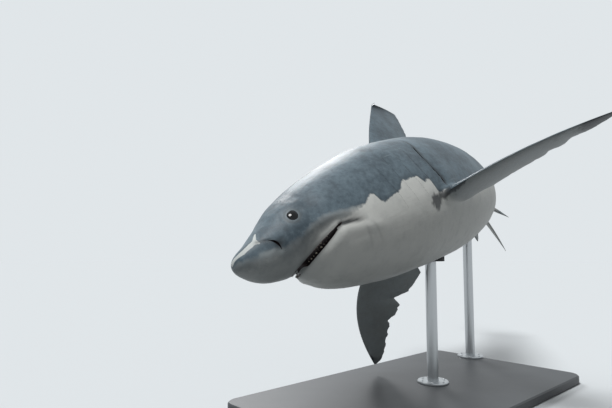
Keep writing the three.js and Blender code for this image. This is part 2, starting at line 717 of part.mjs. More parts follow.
for (const { name, at } of RODS) {
  const middle = bodyPoint(at, 0, middleAt(at)).applyMatrix4(shark.matrixWorld);
  const { x, y } = middle;
  const padBottom = lowestSkin(middle) - PAD.height;
  const pad = cylinder(PAD.radius, padBottom, middle.z, x, y).subtract(placedBody);
  const foot = BASE.height + GAP;
  const rod = cylinder(ROD_RADIUS, foot, padBottom - GAP, x, y);
  const flangeTop = BASE.height + FLANGE.height;
  const hole = cylinder(ROD_RADIUS + GAP, BASE.height, flangeTop + GAP, x, y);
  const flange = cylinder(FLANGE.radius, foot, flangeTop, x, y).subtract(hole);
  stand.add(node(`stand_pad_${name}`, pad, padRubber));
  stand.add(node(`stand_rod_${name}`, rod, standSteel));
  stand.add(node(`stand_flange_${name}`, flange, standSteel));
}

const model = new THREE.Group();
model.add(shark, stand);

export default model;
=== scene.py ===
"""Great white shark, life size, banked over a display stand: skin, eyes, teeth, stand and stage.

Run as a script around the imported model. The animal is worked out in body places, as in the model's
own source: at (just under 0 at the snout tip, 1 at the tail tip), side (to the animal's left) and
up, all as parts of the total length. place_points() bends them along the spine and sets them in the
room, in metres.
"""

import math

import bmesh
import bpy
import numpy as np
from mathutils import Matrix, Vector
from mathutils.kdtree import KDTree


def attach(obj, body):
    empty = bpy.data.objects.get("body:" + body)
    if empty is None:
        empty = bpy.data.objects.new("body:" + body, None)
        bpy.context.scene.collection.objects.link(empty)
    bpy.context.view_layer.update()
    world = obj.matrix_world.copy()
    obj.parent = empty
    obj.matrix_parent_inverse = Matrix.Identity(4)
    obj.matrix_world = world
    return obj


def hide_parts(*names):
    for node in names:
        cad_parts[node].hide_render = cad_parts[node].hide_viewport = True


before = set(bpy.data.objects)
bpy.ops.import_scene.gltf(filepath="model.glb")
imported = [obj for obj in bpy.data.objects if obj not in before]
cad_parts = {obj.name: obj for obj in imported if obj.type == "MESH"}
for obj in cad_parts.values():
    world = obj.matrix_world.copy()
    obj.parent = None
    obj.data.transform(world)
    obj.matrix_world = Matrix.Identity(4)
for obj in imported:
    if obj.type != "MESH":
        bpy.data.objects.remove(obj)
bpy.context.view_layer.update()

bl_info = {
    "name": "Great white shark display model",
    "version": (1, 0, 0),
    "blender": (4, 5, 0),
    "location": "3D Viewport > Sidebar > Shark",
    "description": "Builds the skin, eyes, teeth, stand and studio of a life-size shark model",
    "category": "Add Mesh",
}

# ------------------------------------------------------------------ sizes shared with the solids

TOTAL_LENGTH = 4.2
MILLI = 0.001                       # one millimetre in metres
MM = MILLI / TOTAL_LENGTH           # one millimetre as a part of the total length
BODY_ORIGIN = Vector((0.070, -1.540, 0.900))     # the place at 0 on the spine
NOSE_DOWN = math.radians(16.6)
LEFT_SIDE_UP = math.radians(34.1)
BEND_START = 0.22
BEND_RATE = -0.98

# place, back, belly, half width, height of the widest line, fullness of the lower half
STATIONS = np.array([
    (-0.006, 0.0000, -0.0030, 0.0000, -0.0018, 0.92),
    (0.004, 0.0108, -0.0165, 0.0168, -0.0020, 0.90),
    (0.016, 0.0162, -0.0262, 0.0242, -0.0016, 0.90),
    (0.032, 0.0246, -0.0325, 0.0316, -0.0012, 0.90),
    (0.046, 0.0326, -0.0348, 0.0377, -0.0006, 0.95),
    (0.058, 0.0412, -0.0362, 0.0434, 0.0000, 1.10),
    (0.074, 0.0506, -0.0380, 0.0499, 0.0000, 1.24),
    (0.092, 0.0582, -0.0500, 0.0547, 0.0000, 1.22),
    (0.115, 0.0662, -0.0678, 0.0640, -0.0010, 0.80),
    (0.180, 0.0845, -0.0870, 0.0790, -0.0020, 0.92),
    (0.270, 0.0990, -0.0990, 0.0880, -0.0020, 0.92),
    (0.380, 0.1030, -0.1030, 0.0860, -0.0010, 0.92),
    (0.500, 0.0910, -0.0930, 0.0760, 0.0000, 0.92),
    (0.620, 0.0670, -0.0660, 0.0560, 0.0000, 0.92),
    (0.740, 0.0410, -0.0380, 0.0340, 0.0000, 0.92),
    (0.830, 0.0240, -0.0225, 0.0205, 0.0000, 0.92),
    (0.870, 0.0200, -0.0190, 0.0160, 0.0000, 0.92),
    (0.912, 0.0070, -0.0070, 0.0050, 0.0000, 0.92),
])
SNOUT_START, BODY_END = STATIONS[0, 0], STATIONS[-1, 0]
HIGH_FULLNESS = 0.92
KEEL = dict(start=0.775, end=0.905, height=0.0105, spread=0.26)
EYE = dict(at=0.0685, up=0.0142, radius=34.0, depth=15.0, sunk=9.0, opening=(29.0, 25.5), lean=0.8)

EDGE = 0.75 * MM
MIN_CHORD = 0.004
FIN_TAPER = 0.75                    # power with which a fin thins towards its tip

DORSAL = dict(
    front=0.318, root=0.075, tip=0.2210, sweep=0.174, bow=0.012, rootChord=0.127, freeChord=0.156,
    freeAt=0.32, tipChord=0.096, swell=0.004, half=0.0085, flex=0.006, steps=90,
    nicks=[(0.40, 0.004, 0.06), (0.96, 0.066, 0.10)], ragged=0.0016)
SECOND_DORSAL = dict(
    front=0.736, root=0.030, tip=0.0545, sweep=0.024, bow=0.001, rootChord=0.019, freeChord=0.023,
    freeAt=0.55, tipChord=0.005, swell=0, half=0.0020, flex=0, steps=24, nicks=[], ragged=0.0)
ANAL = dict(SECOND_DORSAL, front=0.752, root=-0.026, tip=-0.0505, freeChord=0.022, freeAt=0.5)
PECTORAL = dict(
    frameAt=0.30, front=0.277, side=0.050, up=-0.040, reach=0.2495, bow=0.016, rootChord=0.073,
    freeChord=0.110, freeAt=0.22, tipChord=0.021, swell=0.013, half=0.0092, rootTwist=0.12,
    steps=110, ragged=0.0022)
PECTORAL_LEFT = dict(
    PECTORAL, hand=1, sweep=0.083, droop=(0.10, 0.38), twist=0.20,
    nicks=[(0.60, 0.008, 0.05), (0.74, 0.012, 0.06)])
PECTORAL_RIGHT = dict(
    PECTORAL, hand=-1, reach=0.251, sweep=0.054, bow=0.018, rootChord=0.078, freeAt=0.21,
    tipChord=0.025, swell=-0.006, droop=(0.08, 1.05), twist=1.07,
    nicks=[(0.42, 0.018, 0.06), (0.62, 0.006, 0.05)])
PELVIC = dict(
    frameAt=0.58, front=0.560, side=0.020, up=-0.046, reach=0.054, sweep=0.034, bow=0.003,
    rootChord=0.043, freeChord=0.050, freeAt=0.45, tipChord=0.010, swell=0.002, half=0.0036,
    rootTwist=0.1, twist=0.1, droop=(1.2, 1.3), steps=40, nicks=[], ragged=0.0008)
TAIL = dict(front=0.857, fork=0.922, half=0.0055, steps=120)
TAIL_UPPER = dict(tipAt=0.996, tipUp=0.150, bow=0.012, hollow=0.006, nicks=[(0.8, 0.008, 0.1)])
TAIL_LOWER = dict(tipAt=0.966, tipUp=-0.134, bow=0.012, hollow=0.005, nicks=[])

FLESH = (
    "snout", "head", "lower_jaw", "gill_region", "trunk_front", "trunk_middle", "trunk_rear",
    "tail_stock", "dorsal_fin", "second_dorsal_fin", "anal_fin", "pectoral_fin_left",
    "pectoral_fin_right", "pelvic_fin_left", "pelvic_fin_right", "tail_fin_upper", "tail_fin_lower")

# ------------------------------------------------------------------ small helpers


def bump(distance, width):
    """1 at a distance of 0, dying away over the width on both sides."""
    return np.exp(-((distance / width) ** 2))


def fade(value, low, high):
    """0 up to low, 1 from high on, smooth between them."""
    t = np.clip((value - low) / (high - low), 0, 1)
    return t * t * (3 - 2 * t)


def window(value, low, full, ebb, high):
    """Rises from low to full, and sinks again from ebb to high."""
    return fade(value, low, full) * (1 - fade(value, ebb, high))


def turns(count):
    """Angles of a full turn."""
    return np.linspace(0, 2 * np.pi, count, endpoint=False)


def unit(vectors):
    """The same ways, 1 long."""
    return vectors / np.linalg.norm(vectors, axis=-1, keepdims=True)


def soft_waves(points, seed, size, octaves=3):
    """Smooth seeded unevenness of crossed waves, about -1 to 1; size is the longest wave in m."""
    rng = np.random.default_rng(seed)
    total = np.zeros(len(points))
    weight = 1.0
    for _ in range(octaves):
        for _ in range(5):
            way = rng.normal(size=3)
            way *= 2 * np.pi / (size * np.linalg.norm(way))
            total += weight * np.sin(points @ way + rng.uniform(0, 6.28)) / 3.2
        size *= 0.47
        weight *= 0.55
    return total


# ------------------------------------------------------------------ the body's form


def station_curve(column):
    """A smooth curve over the root of the way from the snout tip, never past its stations."""
    places = np.sqrt(STATIONS[:, 0] - SNOUT_START)
    values = STATIONS[:, column]
    widths = np.diff(places)
    rises = np.diff(values) / widths
    slopes = np.zeros_like(values)
    slopes[0], slopes[-1] = rises[0], rises[-1]
    for i in range(1, len(values) - 1):
        before, after = rises[i - 1], rises[i]
        if before * after > 0:
            first = 2 * widths[i] + widths[i - 1]
            second = widths[i] + 2 * widths[i - 1]
            slopes[i] = (first + second) / (first / before + second / after)

    def curve(at):
        place = np.sqrt(np.clip(at, SNOUT_START, BODY_END) - SNOUT_START)
        i = np.clip(np.searchsorted(places, place) - 1, 0, len(widths) - 1)
        width = widths[i]
        t = (place - places[i]) / width
        start = values[i] * (2 * t**3 - 3 * t**2 + 1) + slopes[i] * width * (t**3 - 2 * t**2 + t)
        return (start + values[i + 1] * (3 * t**2 - 2 * t**3)
                + slopes[i + 1] * width * (t**3 - t**2))

    return curve


back_at, belly_at, half_at, middle_at, low_fullness_at = map(station_curve, range(1, 6))
POSE = (Matrix.Translation(BODY_ORIGIN) @ Matrix.Rotation(NOSE_DOWN, 4, "X")
        @ Matrix.Rotation(-LEFT_SIDE_UP, 4, "Y"))
POSE_TURN = np.array(POSE.to_3x3())


def spine(at):
    """Where the spine runs at a place: along, to the side, and its heading."""
    arc = np.maximum(at - BEND_START, 0)
    heading = BEND_RATE * arc
    along = np.where(arc > 0, BEND_START + np.sin(heading) / BEND_RATE, at)
    side = np.where(arc > 0, (1 - np.cos(heading)) / BEND_RATE, 0.0)
    return along, side, heading


def into_room(left, tailward, up):
    """From the animal's own straight axes to metres in the room, banked and nose down."""
    local = np.stack(np.broadcast_arrays(left, tailward, up), -1) * TOTAL_LENGTH
    return local @ POSE_TURN.T + np.array(BODY_ORIGIN)


def place_points(at, side, up):
    """Body places, bent along the spine, in the room."""
    along, offset, heading = spine(at)
    return into_room(offset + np.cos(heading) * side, along - np.sin(heading) * side, up)


def stiff_points(frame_at, at, side, up):
    """The same in the stiff frame that stands on the spine at frame_at."""
    along, offset, heading = spine(frame_at)
    cos, sin = np.cos(heading), np.sin(heading)
    back = at - frame_at
    return into_room(offset + sin * back + cos * side, along + cos * back - sin * side, up)


def body_places(points):
    """Body places of points in the room: the way back from place_points()."""
    local = (points - np.array(BODY_ORIGIN)) @ POSE_TURN / TOTAL_LENGTH
    left, tailward, up = local.T
    # The arc's middle lies level with the start of the bend, 1 / BEND_RATE to its side.
    past, aside = tailward - BEND_START, left - 1 / BEND_RATE
    at = np.where(past > 0, BEND_START - np.arctan2(past, aside) / BEND_RATE, tailward)
    side = np.where(past > 0, np.hypot(past, aside) + 1 / BEND_RATE, left)
    return np.stack([at, side, up], -1)


def reach_at(at, upper):
    """From the widest line up to the back, or down to the belly."""
    middle = middle_at(at)
    return np.where(upper, back_at(at) - middle, middle - belly_at(at))


def fullness_at(at, upper):
    return np.where(upper, HIGH_FULLNESS, low_fullness_at(at))


def section(at, angle):
    """Side and up of the plain cross-section."""
    lift = np.sin(angle)
    t = np.clip((at - KEEL["start"]) / (KEEL["end"] - KEEL["start"]), 0, 1)
    from_side = np.arcsin(np.abs(lift))
    keel = KEEL["height"] * np.sin(np.pi * t) ** 1.2 * bump(from_side, KEEL["spread"])
    side = (half_at(at) + keel) * np.cos(angle)
    rise = reach_at(at, lift >= 0) * np.abs(lift) ** fullness_at(at, lift >= 0)
    return side, middle_at(at) + np.sign(lift) * rise


def side_under(at, up):
    """Half width of the body at a height below its widest line."""
    share = np.clip((middle_at(at) - up) / reach_at(at, False), 0, 1)
    return half_at(at) * np.sqrt(1 - share ** (2 / low_fullness_at(at)))


def angle_at(at, up, hand=1):
    """Angle in the cross-section of the skin at a height, on the left (1) or the right (-1)."""
    over = up - middle_at(at)
    upper = over >= 0
    lift = np.sign(over) * (np.abs(over) / reach_at(at, upper)) ** (1 / fullness_at(at, upper))
    angle = np.arcsin(np.clip(lift, -1, 1))
    return angle if hand > 0 else np.pi - angle


def skin_frame(at, up, hand):
    """Point on the plain skin, with its outward, tailward and upward directions in the room."""
    angle = angle_at(at, up, hand)

    def point(place, turn):
        return place_points(place, *section(place, turn))

    middle = point(at, angle)
    tailward = unit(point(at + 0.002, angle) - point(at - 0.002, angle))
    around = point(at, angle + 0.02 * hand) - point(at, angle - 0.02 * hand)
    outward = unit(np.cross(tailward, around))
    if outward @ (middle - place_points(at, 0, middle_at(at))) < 0:
        outward = -outward
    upward = unit(np.cross(outward, tailward))
    return middle, outward, tailward, upward if upward @ around > 0 else -upward


def eye_distance(at, side, up):
    """Distance in mm from the middle of the nearer eye."""
    eye_side, _ = section(EYE["at"], angle_at(EYE["at"], EYE["up"]))
    return np.sqrt((at - EYE["at"]) ** 2 + (up - EYE["up"]) ** 2
                   + (np.abs(side) - eye_side) ** 2) / MM


def strip_distance(points, start, end):
    """Distance in mm from a straight strip between two body places, and how far along it."""
    start = np.array(start)
    way = np.array(end) - start
    t = np.clip((points - start) @ way / (way @ way), 0, 1)
    return np.linalg.norm(points - (start + t[:, None] * way), axis=1) / MM, t


# ------------------------------------------------------------------ mouth line

MOUTH_FRONT = 0.0600                # place of the lip on the midline
MOUTH_CORNER = (0.1100, -0.0188)    # place, and height where the lip line's two straight runs meet
LIP_RISE, LIP_ROLL, LIP_ROUNDING = 0.035, 0.305, 0.005     # slopes of the runs, and their blend
MOUTH_END = 0.1150                  # the gap has closed here, a little past the corner
MOUTH_OPENING = 0.0062
MOUTH_NARROW = 0.08                 # share of the opening at the front
MOUTH_WIDEST = 0.0760               # place from which the gap is fully open
MOUTH_START = 0.0500                # just in front of the lips
MOUTH_CLOSING = 7                   # power with which the gap closes: the higher, the later
MOUTH_HEART = 0.105                 # place on the midline that the mouth's inner wall closes in on
MOUTH_INWARD = 1.6                  # weight of the sideways part of the way in
MOUTH_SHALLOW, MOUTH_DEEP = 0.0085, 0.0175      # how far in the mouth goes at least, and adds
TEETH_FRONT = 0.0735                # no tooth shows further forward
TEETH_END = MOUTH_END - 0.016       # or further back
GUM_INSET = 12 * MM
GUM_RISE = (3 * MM, 6 * MM)         # how far the gum stands out above and below
GUM_GAP = 0.0048                    # the gum has its full height where the gap is this high


def lip_top(at):
    """Height of the upper lip: it rises, rolls over at the corner and goes on as a crease."""
    past = at - MOUTH_CORNER[0]
    return MOUTH_CORNER[1] + LIP_RISE * past - LIP_ROLL * np.sqrt(past**2 + LIP_ROUNDING**2)


def lip_gap(at):
    """Height of the open gap: narrow at the front, soon wide, and closing quickly at the corner."""
    share = np.clip((at - MOUTH_START) / (MOUTH_END - MOUTH_START), 0, 1)
    opened = MOUTH_NARROW + (1 - MOUTH_NARROW) * fade(at, MOUTH_FRONT, MOUTH_WIDEST)
    return MOUTH_OPENING * opened * (1 - share**MOUTH_CLOSING)


def gum_share(gap):
    """How much of its height the gum has beside a gap, so that it never bridges a narrow one."""
    return np.minimum(gap / GUM_GAP, 1)


def lower_rim(at):
    """The lower jaw's rim beside a place of the upper lip: its own place and side."""
    # Its front is where the jaw's flat top meets its underside on the midline.
    places = np.linspace(MOUTH_FRONT, MOUTH_END, 400)
    front = places[np.argmax(lip_top(places) - lip_gap(places) > belly_at(places))]
    low = front + (at - MOUTH_FRONT) * (MOUTH_END - front) / (MOUTH_END - MOUTH_FRONT)
    return low, side_under(low, lip_top(low) - lip_gap(low))


def mouth_path(steps):
    """Shares t, places (at, side) and ways in along the lip, from the right corner to the left."""
    t = np.linspace(-1, 1, 2 * steps - 1)
    at = MOUTH_FRONT + (MOUTH_END - MOUTH_FRONT) * t**2
    side = np.sign(t) * side_under(at, lip_top(at))
    return t, at, side, unit(np.stack([MOUTH_HEART - at, -side * MOUTH_INWARD], -1))


# ------------------------------------------------------------------ relief of the skin

# place, lean of the upper end, top, bottom, width in mm; only the last slit gapes
GILLS = (
    (0.2030, 0.006, 0.040, -0.044, 0.5),
    (0.2250, 0.008, 0.043, -0.044, 0.5),
    (0.2470, 0.010, 0.046, -0.043, 0.6),
    (0.2690, 0.012, 0.052, -0.040, 1.2),
    (0.2932, 0.0175, 0.0640, -0.0375, 13.0),
)
# height of the flap and its reach forward, drop behind the slit and its reach, in mm
SHUT_FLAP, GAPING_FLAP = (1.0, 16, 0.4, 12), (5.0, 34, 5.0, 46)
JAW_FOLDS = ((0.134, 0.50, 1.8), (0.146, 0.65, 1.3))       # place, lean, depth in mm
NOSTRIL_GROOVE = dict(at=0.0215, up=0.0065, run=0.011, drop=0.0055)
NOSTRIL_HOLLOW = (0.0396, -0.0080)
LATERAL_LINE = 0.024                # height of the line along the flank
TAIL_NOTCH = 0.851                  # place of the notches over and under the tail stock


def gill_line(gill, up):
    """Place of a gill slit at a height: its upper end leans back, and so does its lowest part."""
    return gill[0] + gill[1] * fade(up, 0.010, 0.062) + 0.2 * np.maximum(-0.002 - up, 0)


# Each of the next functions gives the height in mm of some forms, and how much painted shade
# (0 to 1) lies in their creases and hollows: a number of mm times a bump. Places and heights are
# body places, the other distances are in mm.


def eye_forms(at, side, up):
    """The rolled lid, the hollow round it and the brow over the eye."""
    from_eye = eye_distance(at, side, up)
    height = 2.0 * bump(from_eye - 31, 6) - 3.0 * bump(from_eye - 50, 16) * fade(up, 0.004, 0.02)
    height += 5.0 * bump(at - 0.074, 0.020) * bump(up - 0.0265, 0.006)
    # Painted shade in the hollow round the eye.
    return height, 0.35 * bump(from_eye - 40, 5)


def mouth_forms(at, side, up):
    """Cheek, jaw and lips, and the crease and folds behind the corner of the mouth."""
    over_lip = (up - lip_top(at)) / MM
    under_lip = (lip_top(at) - lip_gap(at) - up) / MM
    # A ridge of the cheek runs high over the lip; the lip itself lies back under it.
    mouth = window(at, 0.054, 0.070, 0.125, 0.152)
    ridge = 80 - 40 * fade(at, 0.084, 0.118)
    height = mouth * 6.0 * bump(over_lip - ridge, 0.30 * ridge)
    height -= mouth * 7.0 * bump(over_lip - 0.40 * ridge, 0.30 * ridge)
    # Painted shade on the upper lip below the ridge.
    crease_shade = 0.26 * mouth * bump(over_lip - 0.15 * ridge, 0.35 * ridge)
    # The jaw swells under the mouth, most of all below its corner.
    jaw = window(at, 0.070, 0.084, 0.150, 0.185)
    height += jaw * 7.0 * bump(under_lip - 48, 30)
    height -= jaw * 3.0 * bump(under_lip - 8, 9) * (1 - fade(at, 0.104, 0.118))
    # Both lips roll in at their edge, with painted shade along them.
    lips = mouth * (1 - fade(at, 0.109, 0.118))
    height -= 2.0 * lips * (bump(over_lip, 8) + bump(under_lip, 8))
    crease_shade += lips * (0.35 * bump(over_lip, 9) + 0.50 * bump(under_lip, 11))
    # Crease from the corner of the mouth, sinking as it fades out over the cheek, with painted shade
    # in it.
    corner = window(at, 0.106, 0.116, 0.126, 0.150)
    height -= corner * 9.0 * bump(over_lip + 8, 14)
    crease_shade += 1.2 * corner * bump(over_lip + 8, 13)
    # Folds of skin on the jaw behind it, with painted shade in them.
    span = window(-up, 0.034, 0.042, 0.052, 0.066)
    for start, lean, depth in JAW_FOLDS:
        line = start + lean * (lip_top(at) - up) - 6 * (lip_top(at) - up) ** 2
        height -= depth * span * bump((at - line) / MM, 11)
        crease_shade += 0.16 * span * bump((at - line) / MM, 8)
    return height, crease_shade


def nostril_forms(at, side, up):
    """A shallow groove that leads to a soft hollow, between two swells of the skin."""
    groove = NOSTRIL_GROOVE
    t = np.clip((at - groove["at"]) / groove["run"], 0, 1)
    from_groove = np.hypot(at - groove["at"] - groove["run"] * t,
                           up - groove["up"] + groove["drop"] * t) / MM
    from_hollow = np.hypot(at - NOSTRIL_HOLLOW[0], (up - NOSTRIL_HOLLOW[1]) * 1.1) / MM
    height = -2.2 * bump(from_groove, 8) - 3.0 * bump(from_hollow, 20)
    height += 3.0 * bump(np.hypot((at - 0.0315) * 0.7, up + 0.0120) / MM, 12)
    height += 2.0 * bump(np.hypot(at - 0.0455, up + 0.0085) / MM, 12)
    # Painted shade in the groove and the hollow.
    return height, 0.60 * bump(from_groove, 12) + 0.95 * bump(from_hollow, 30)


def gill_forms(at, side, up):
    """Gill flaps rise towards their slit and drop behind it."""
    height, crease_shade = np.zeros_like(at), np.zeros_like(at)
    for gill in GILLS:
        _, _, top, bottom, _ = gill
        gapes = gill == GILLS[-1]
        span = window(up, bottom, bottom + 0.012, top - 0.010, top + 0.004)
        past = np.clip((at - gill_line(gill, up)) / MM, -300, 300)
        lift, reach, drop, behind = GAPING_FLAP if gapes else SHUT_FLAP
        flap = np.where(past < 0, lift * np.exp(past / reach), -drop * np.exp(-past / behind))
        height += span * flap
        # Painted shade at each slit, broad and dark behind the gaping one.
        crease_shade += span * (0.95 * bump(past - 14, 20) if gapes else 0.08 * bump(past, 4))
    return height, crease_shade


def trunk_forms(at, side, up):
    """Shoulder swell, lateral line, and notches over and under the tail stock."""
    height = 10.0 * bump(at - 0.318, 0.022) * bump(up + 0.012, 0.035)
    height -= window(at, 0.30, 0.36, 0.76, 0.84) * 2.0 * bump((up - LATERAL_LINE) / MM, 9)
    notch = bump(at - TAIL_NOTCH, 0.0045) * fade(np.abs(up), 0.008, 0.016)
    # Painted shade in the notches.
    return height - 11.0 * notch * bump(side, 0.012), 0.6 * notch


def relief(at, side, up):
    """Height in mm of the skin over the plain sections, and the painted shade in its creases."""
    forms = eye_forms, mouth_forms, nostril_forms, gill_forms, trunk_forms
    height, crease_shade = sum(np.array(form(at, side, up)) for form in forms)
    return height, np.clip(crease_shade, 0, 1)


# ------------------------------------------------------------------ meshes


def link(name, data):
    """A new object in the scene."""
    piece = bpy.data.objects.new(name, data)
    bpy.context.scene.collection.objects.link(piece)
    return piece


def mesh_object(name, points, edges=(), faces=(), material_index=0):
    mesh = bpy.data.meshes.new(name)
    mesh.from_pydata([tuple(point) for point in points], edges, faces)
    mesh.polygons.foreach_set("material_index", [material_index] * len(mesh.polygons))
    mesh.update()
    return link(name, mesh)


def loft(name, rings, material_index=0):
    """A closed piece through rings of points, an array of ring, point, axis, with faces outward."""
    rings = np.asarray(rings)
    rows, count, _ = rings.shape
    # Two extra points close the ends, each with a fan.
    points = np.concatenate([rings.reshape(-1, 3), rings[:1].mean(1), rings[-1:].mean(1)])
    around = [(i, (i + 1) % count) for i in range(count)]
    last = (rows - 1) * count
    faces = [(row + i, row + n, row + count + n, row + count + i)
             for row in range(0, last, count) for i, n in around]
    for i, n in around:
        faces += [(rows * count, n, i), (rows * count + 1, last + i, last + n)]
    piece = mesh_object(name, points, faces=faces, material_index=material_index)
    work = bmesh.new()
    work.from_mesh(piece.data)
    bmesh.ops.recalc_face_normals(work, faces=work.faces)
    if work.calc_volume(signed=True) < 0:
        bmesh.ops.reverse_faces(work, faces=work.faces)
    work.to_mesh(piece.data)
    work.free()
    return piece


def join(name, pieces):
    """One piece of many, which are used up."""
    work = bmesh.new()
    for piece in pieces:
        work.from_mesh(piece.data)
        bpy.data.objects.remove(piece)
    mesh = bpy.data.meshes.new(name)
    work.to_mesh(mesh)
    work.free()
    return link(name, mesh)


def keep_result(piece):
    """Bakes a piece's modifiers into a plain mesh."""
    evaluated = piece.evaluated_get(bpy.context.evaluated_depsgraph_get())
    mesh = bpy.data.meshes.new_from_object(evaluated)
    if len(mesh.polygons) == 0:
        raise RuntimeError(f"{piece.name} came out empty")
    piece.modifiers.clear()
    before, piece.data = piece.data, mesh
    bpy.data.meshes.remove(before)


def combine(piece, other, operation, materials):
    """Boolean of two closed pieces; the other one is used up. Both keep their faces' materials."""
    for mesh in (piece.data, other.data):
        for material in materials[len(mesh.materials):]:
            mesh.materials.append(material)
    cut = piece.modifiers.new("cut", "BOOLEAN")
    cut.object = other
    cut.operation = operation
    cut.solver = "MANIFOLD"
    keep_result(piece)
    bpy.data.objects.remove(other)


def values_of(items, name, width=1, kind=np.float64):
    """One property of all the points, edges, faces or corners of a mesh, as an array."""
    values = np.empty(len(items) * width, dtype=kind)
    items.foreach_get(name, values)
    return values.reshape(-1, width) if width > 1 else values


def seams(mesh, items, index_name):
    """For points or edges: do faces of two material indices meet there?"""
    index = values_of(mesh.polygons, "material_index", kind=np.int32)
    totals = values_of(mesh.polygons, "loop_total", kind=np.int32)
    corners = values_of(mesh.loops, index_name, kind=np.int32)
    per_corner = np.repeat(index, totals)
    low, high = np.full(len(items), per_corner.max()), np.zeros(len(items), dtype=np.int32)
    np.minimum.at(low, corners, per_corner)
    np.maximum.at(high, corners, per_corner)
    return low < high


def soften(mesh, seeds, radius, rounds):
    """Rounds a seam off by averaging the points near it with their neighbours."""
    points = values_of(mesh.vertices, "co", 3)
    tree = KDTree(len(seeds))
    for i, seed in enumerate(seeds):
        tree.insert(points[seed], i)
    tree.balance()
    low, high = points[seeds].min(0) - radius, points[seeds].max(0) + radius
    weight = np.zeros(len(points))
    for i in np.nonzero(((points > low) & (points < high)).all(1))[0]:
        distance = tree.find(points[i])[2]
        weight[i] = max(1 - distance / radius, 0) ** 1.5
    a, b = values_of(mesh.edges, "vertices", 2, np.int32).T
    keep = (weight[a] > 0) | (weight[b] > 0)
    a, b = np.concatenate([a[keep], b[keep]]), np.concatenate([b[keep], a[keep]])
    count = np.maximum(np.bincount(a, minlength=len(points)), 1)[:, None]
    for _ in range(rounds):
        total = np.stack([np.bincount(a, points[b, k], len(points)) for k in range(3)], -1)
        points += 0.6 * weight[:, None] * (total / count - points)
    mesh.vertices.foreach_set("co", points.ravel())
    mesh.update()


def smooth(mesh, sharp_angle=None):
    """Smooth shading; edges sharper than an angle stay crisp where one is given."""
    mesh.polygons.foreach_set("use_smooth", [True] * len(mesh.polygons))
    if sharp_angle:
        work = bmesh.new()
        work.from_mesh(mesh)
        for edge in work.edges:
            edge.smooth = edge.calc_face_angle(0) < sharp_angle
        work.to_mesh(mesh)
        work.free()


# ------------------------------------------------------------------ parts of the skin

SKIN_RUNS = ((0.020, 0.070, 46), (0.070, 0.120, 40), (0.120, 0.200, 52), (0.200, 0.320, 76),
             (0.320, 0.740, 66), (0.740, BODY_END, 44))     # from, to, rings of the skin's grid
RING_POINTS = 160
FIN_HALF_RING = 26


def body_loft():
    """The body without fins: the plain sections, raised by the relief and by slow waves."""
    tip = SNOUT_START + (0.020 - SNOUT_START) * np.linspace(0.025, 1, 26, endpoint=False) ** 2
    runs = [np.linspace(*run, endpoint=False) for run in SKIN_RUNS]
    at, angle = np.meshgrid(np.concatenate([tip, *runs, [BODY_END]]), turns(RING_POINTS),
                            indexing="ij")
    side, up = section(at, angle)
    points = place_points(at, side, up)
    # Outward directions from the grid itself.
    along = np.gradient(points, axis=0)
    around = np.roll(points, -1, axis=1) - np.roll(points, 1, axis=1)
    outward = unit(np.cross(around, along))
    centre = place_points(at, 0, middle_at(at))
    outward[np.sum(outward * (points - centre), axis=2) < 0] *= -1
    height, _ = relief(at, side, up)
    flat = points.reshape(-1, 3)
    waves = 2.2 * soft_waves(flat, 4, 0.55) + 0.5 * soft_waves(flat, 9, 0.09, 2)
    height += waves.reshape(at.shape) * window(at, 0.0, 0.03, 0.86, 0.90)
    return loft("skin", points + outward * (height * MILLI)[..., None])


def nick_depth(nicks, v):
    """How deep the nicks in a rear edge are at a share of the way out."""
    depth = np.zeros_like(v)
    for place, cut, width in nicks:
        depth += cut * np.clip(1 - np.abs(v - place) / width, 0, 1)
    return depth


def chord_at(fin, v):
    """Chord of a fin at a share of its way out, worn and nicked along its rear edge."""
    free, root, tip = fin["freeChord"], fin["rootChord"], fin["tipChord"]
    inner = root + (free - root) * (v / fin["freeAt"]) ** 1.5
    t = np.clip((v - fin["freeAt"]) / (1 - fin["freeAt"]), 0, 1)
    outer = free + (tip - free) * t + fin["swell"] * np.sin(np.pi * t)
    chord = np.where(v < fin["freeAt"], inner, outer) * np.sqrt(1 - v**12)
    worn = fin["ragged"] * fade(v, fin["freeAt"], fin["freeAt"] + 0.15)
    line = np.stack([v, 0 * v, 0 * v], -1).reshape(-1, 3)
    teeth = np.abs(soft_waves(line, 31, 0.11)).reshape(v.shape)
    return np.maximum(chord - nick_depth(fin["nicks"], v) - worn * teeth, MIN_CHORD)


def fin_ring():
    """Round a fin's section: shares of the chord, of the thickness, and the least thickness."""
    share = 0.5 - 0.5 * np.cos(np.linspace(0, np.pi, FIN_HALF_RING))
    foil = np.minimum(2.2 * np.sqrt(share) * (1 - share) ** 0.85, 1.0)
    foil = foil - 0.06 * bump(share - 0.3, 0.2)
    foil = np.concatenate([foil, -foil[::-1]])
    least = np.sign(foil) * EDGE
    least[0] = EDGE
    return np.concatenate([share, share[::-1]])[None], foil[None], least[None]


def fin_grid(fin, root_v, flare, spread):
    """Ways out and over the chord, and the signed thickness, which flares up to the root."""
    share, foil, least = fin_ring()
    v = np.linspace(0, 1, fin["steps"])[:, None]
    flared = 1 + flare * np.exp(-np.maximum(v - root_v, 0) / spread)
    thick = fin["half"] * (1 - v) ** FIN_TAPER * flared
    return np.broadcast_arrays(v, share, least + foil * thick)


def lead_at(fin, v):
    """Place of a fin's leading edge."""
    return fin["front"] + fin["sweep"] * v - fin["bow"] * np.sin(np.pi * v)


def upright_fin(name, fin):
    """A fin that stands on the midline; it bends a little to the side towards its rear edge."""
    surface = abs(back_at(fin["front"] + 0.5 * fin["rootChord"]))
    rise = fin["tip"] - fin["root"]
    tall = abs(rise)
    v, share, thick = fin_grid(fin, (surface - abs(fin["root"])) / tall, 0.9, 0.012 / tall)
    at = lead_at(fin, v) + chord_at(fin, v) * share
    side = thick + fin["flex"] * v * share**2
    return loft(name, place_points(at, side, fin["root"] + rise * v), 1)


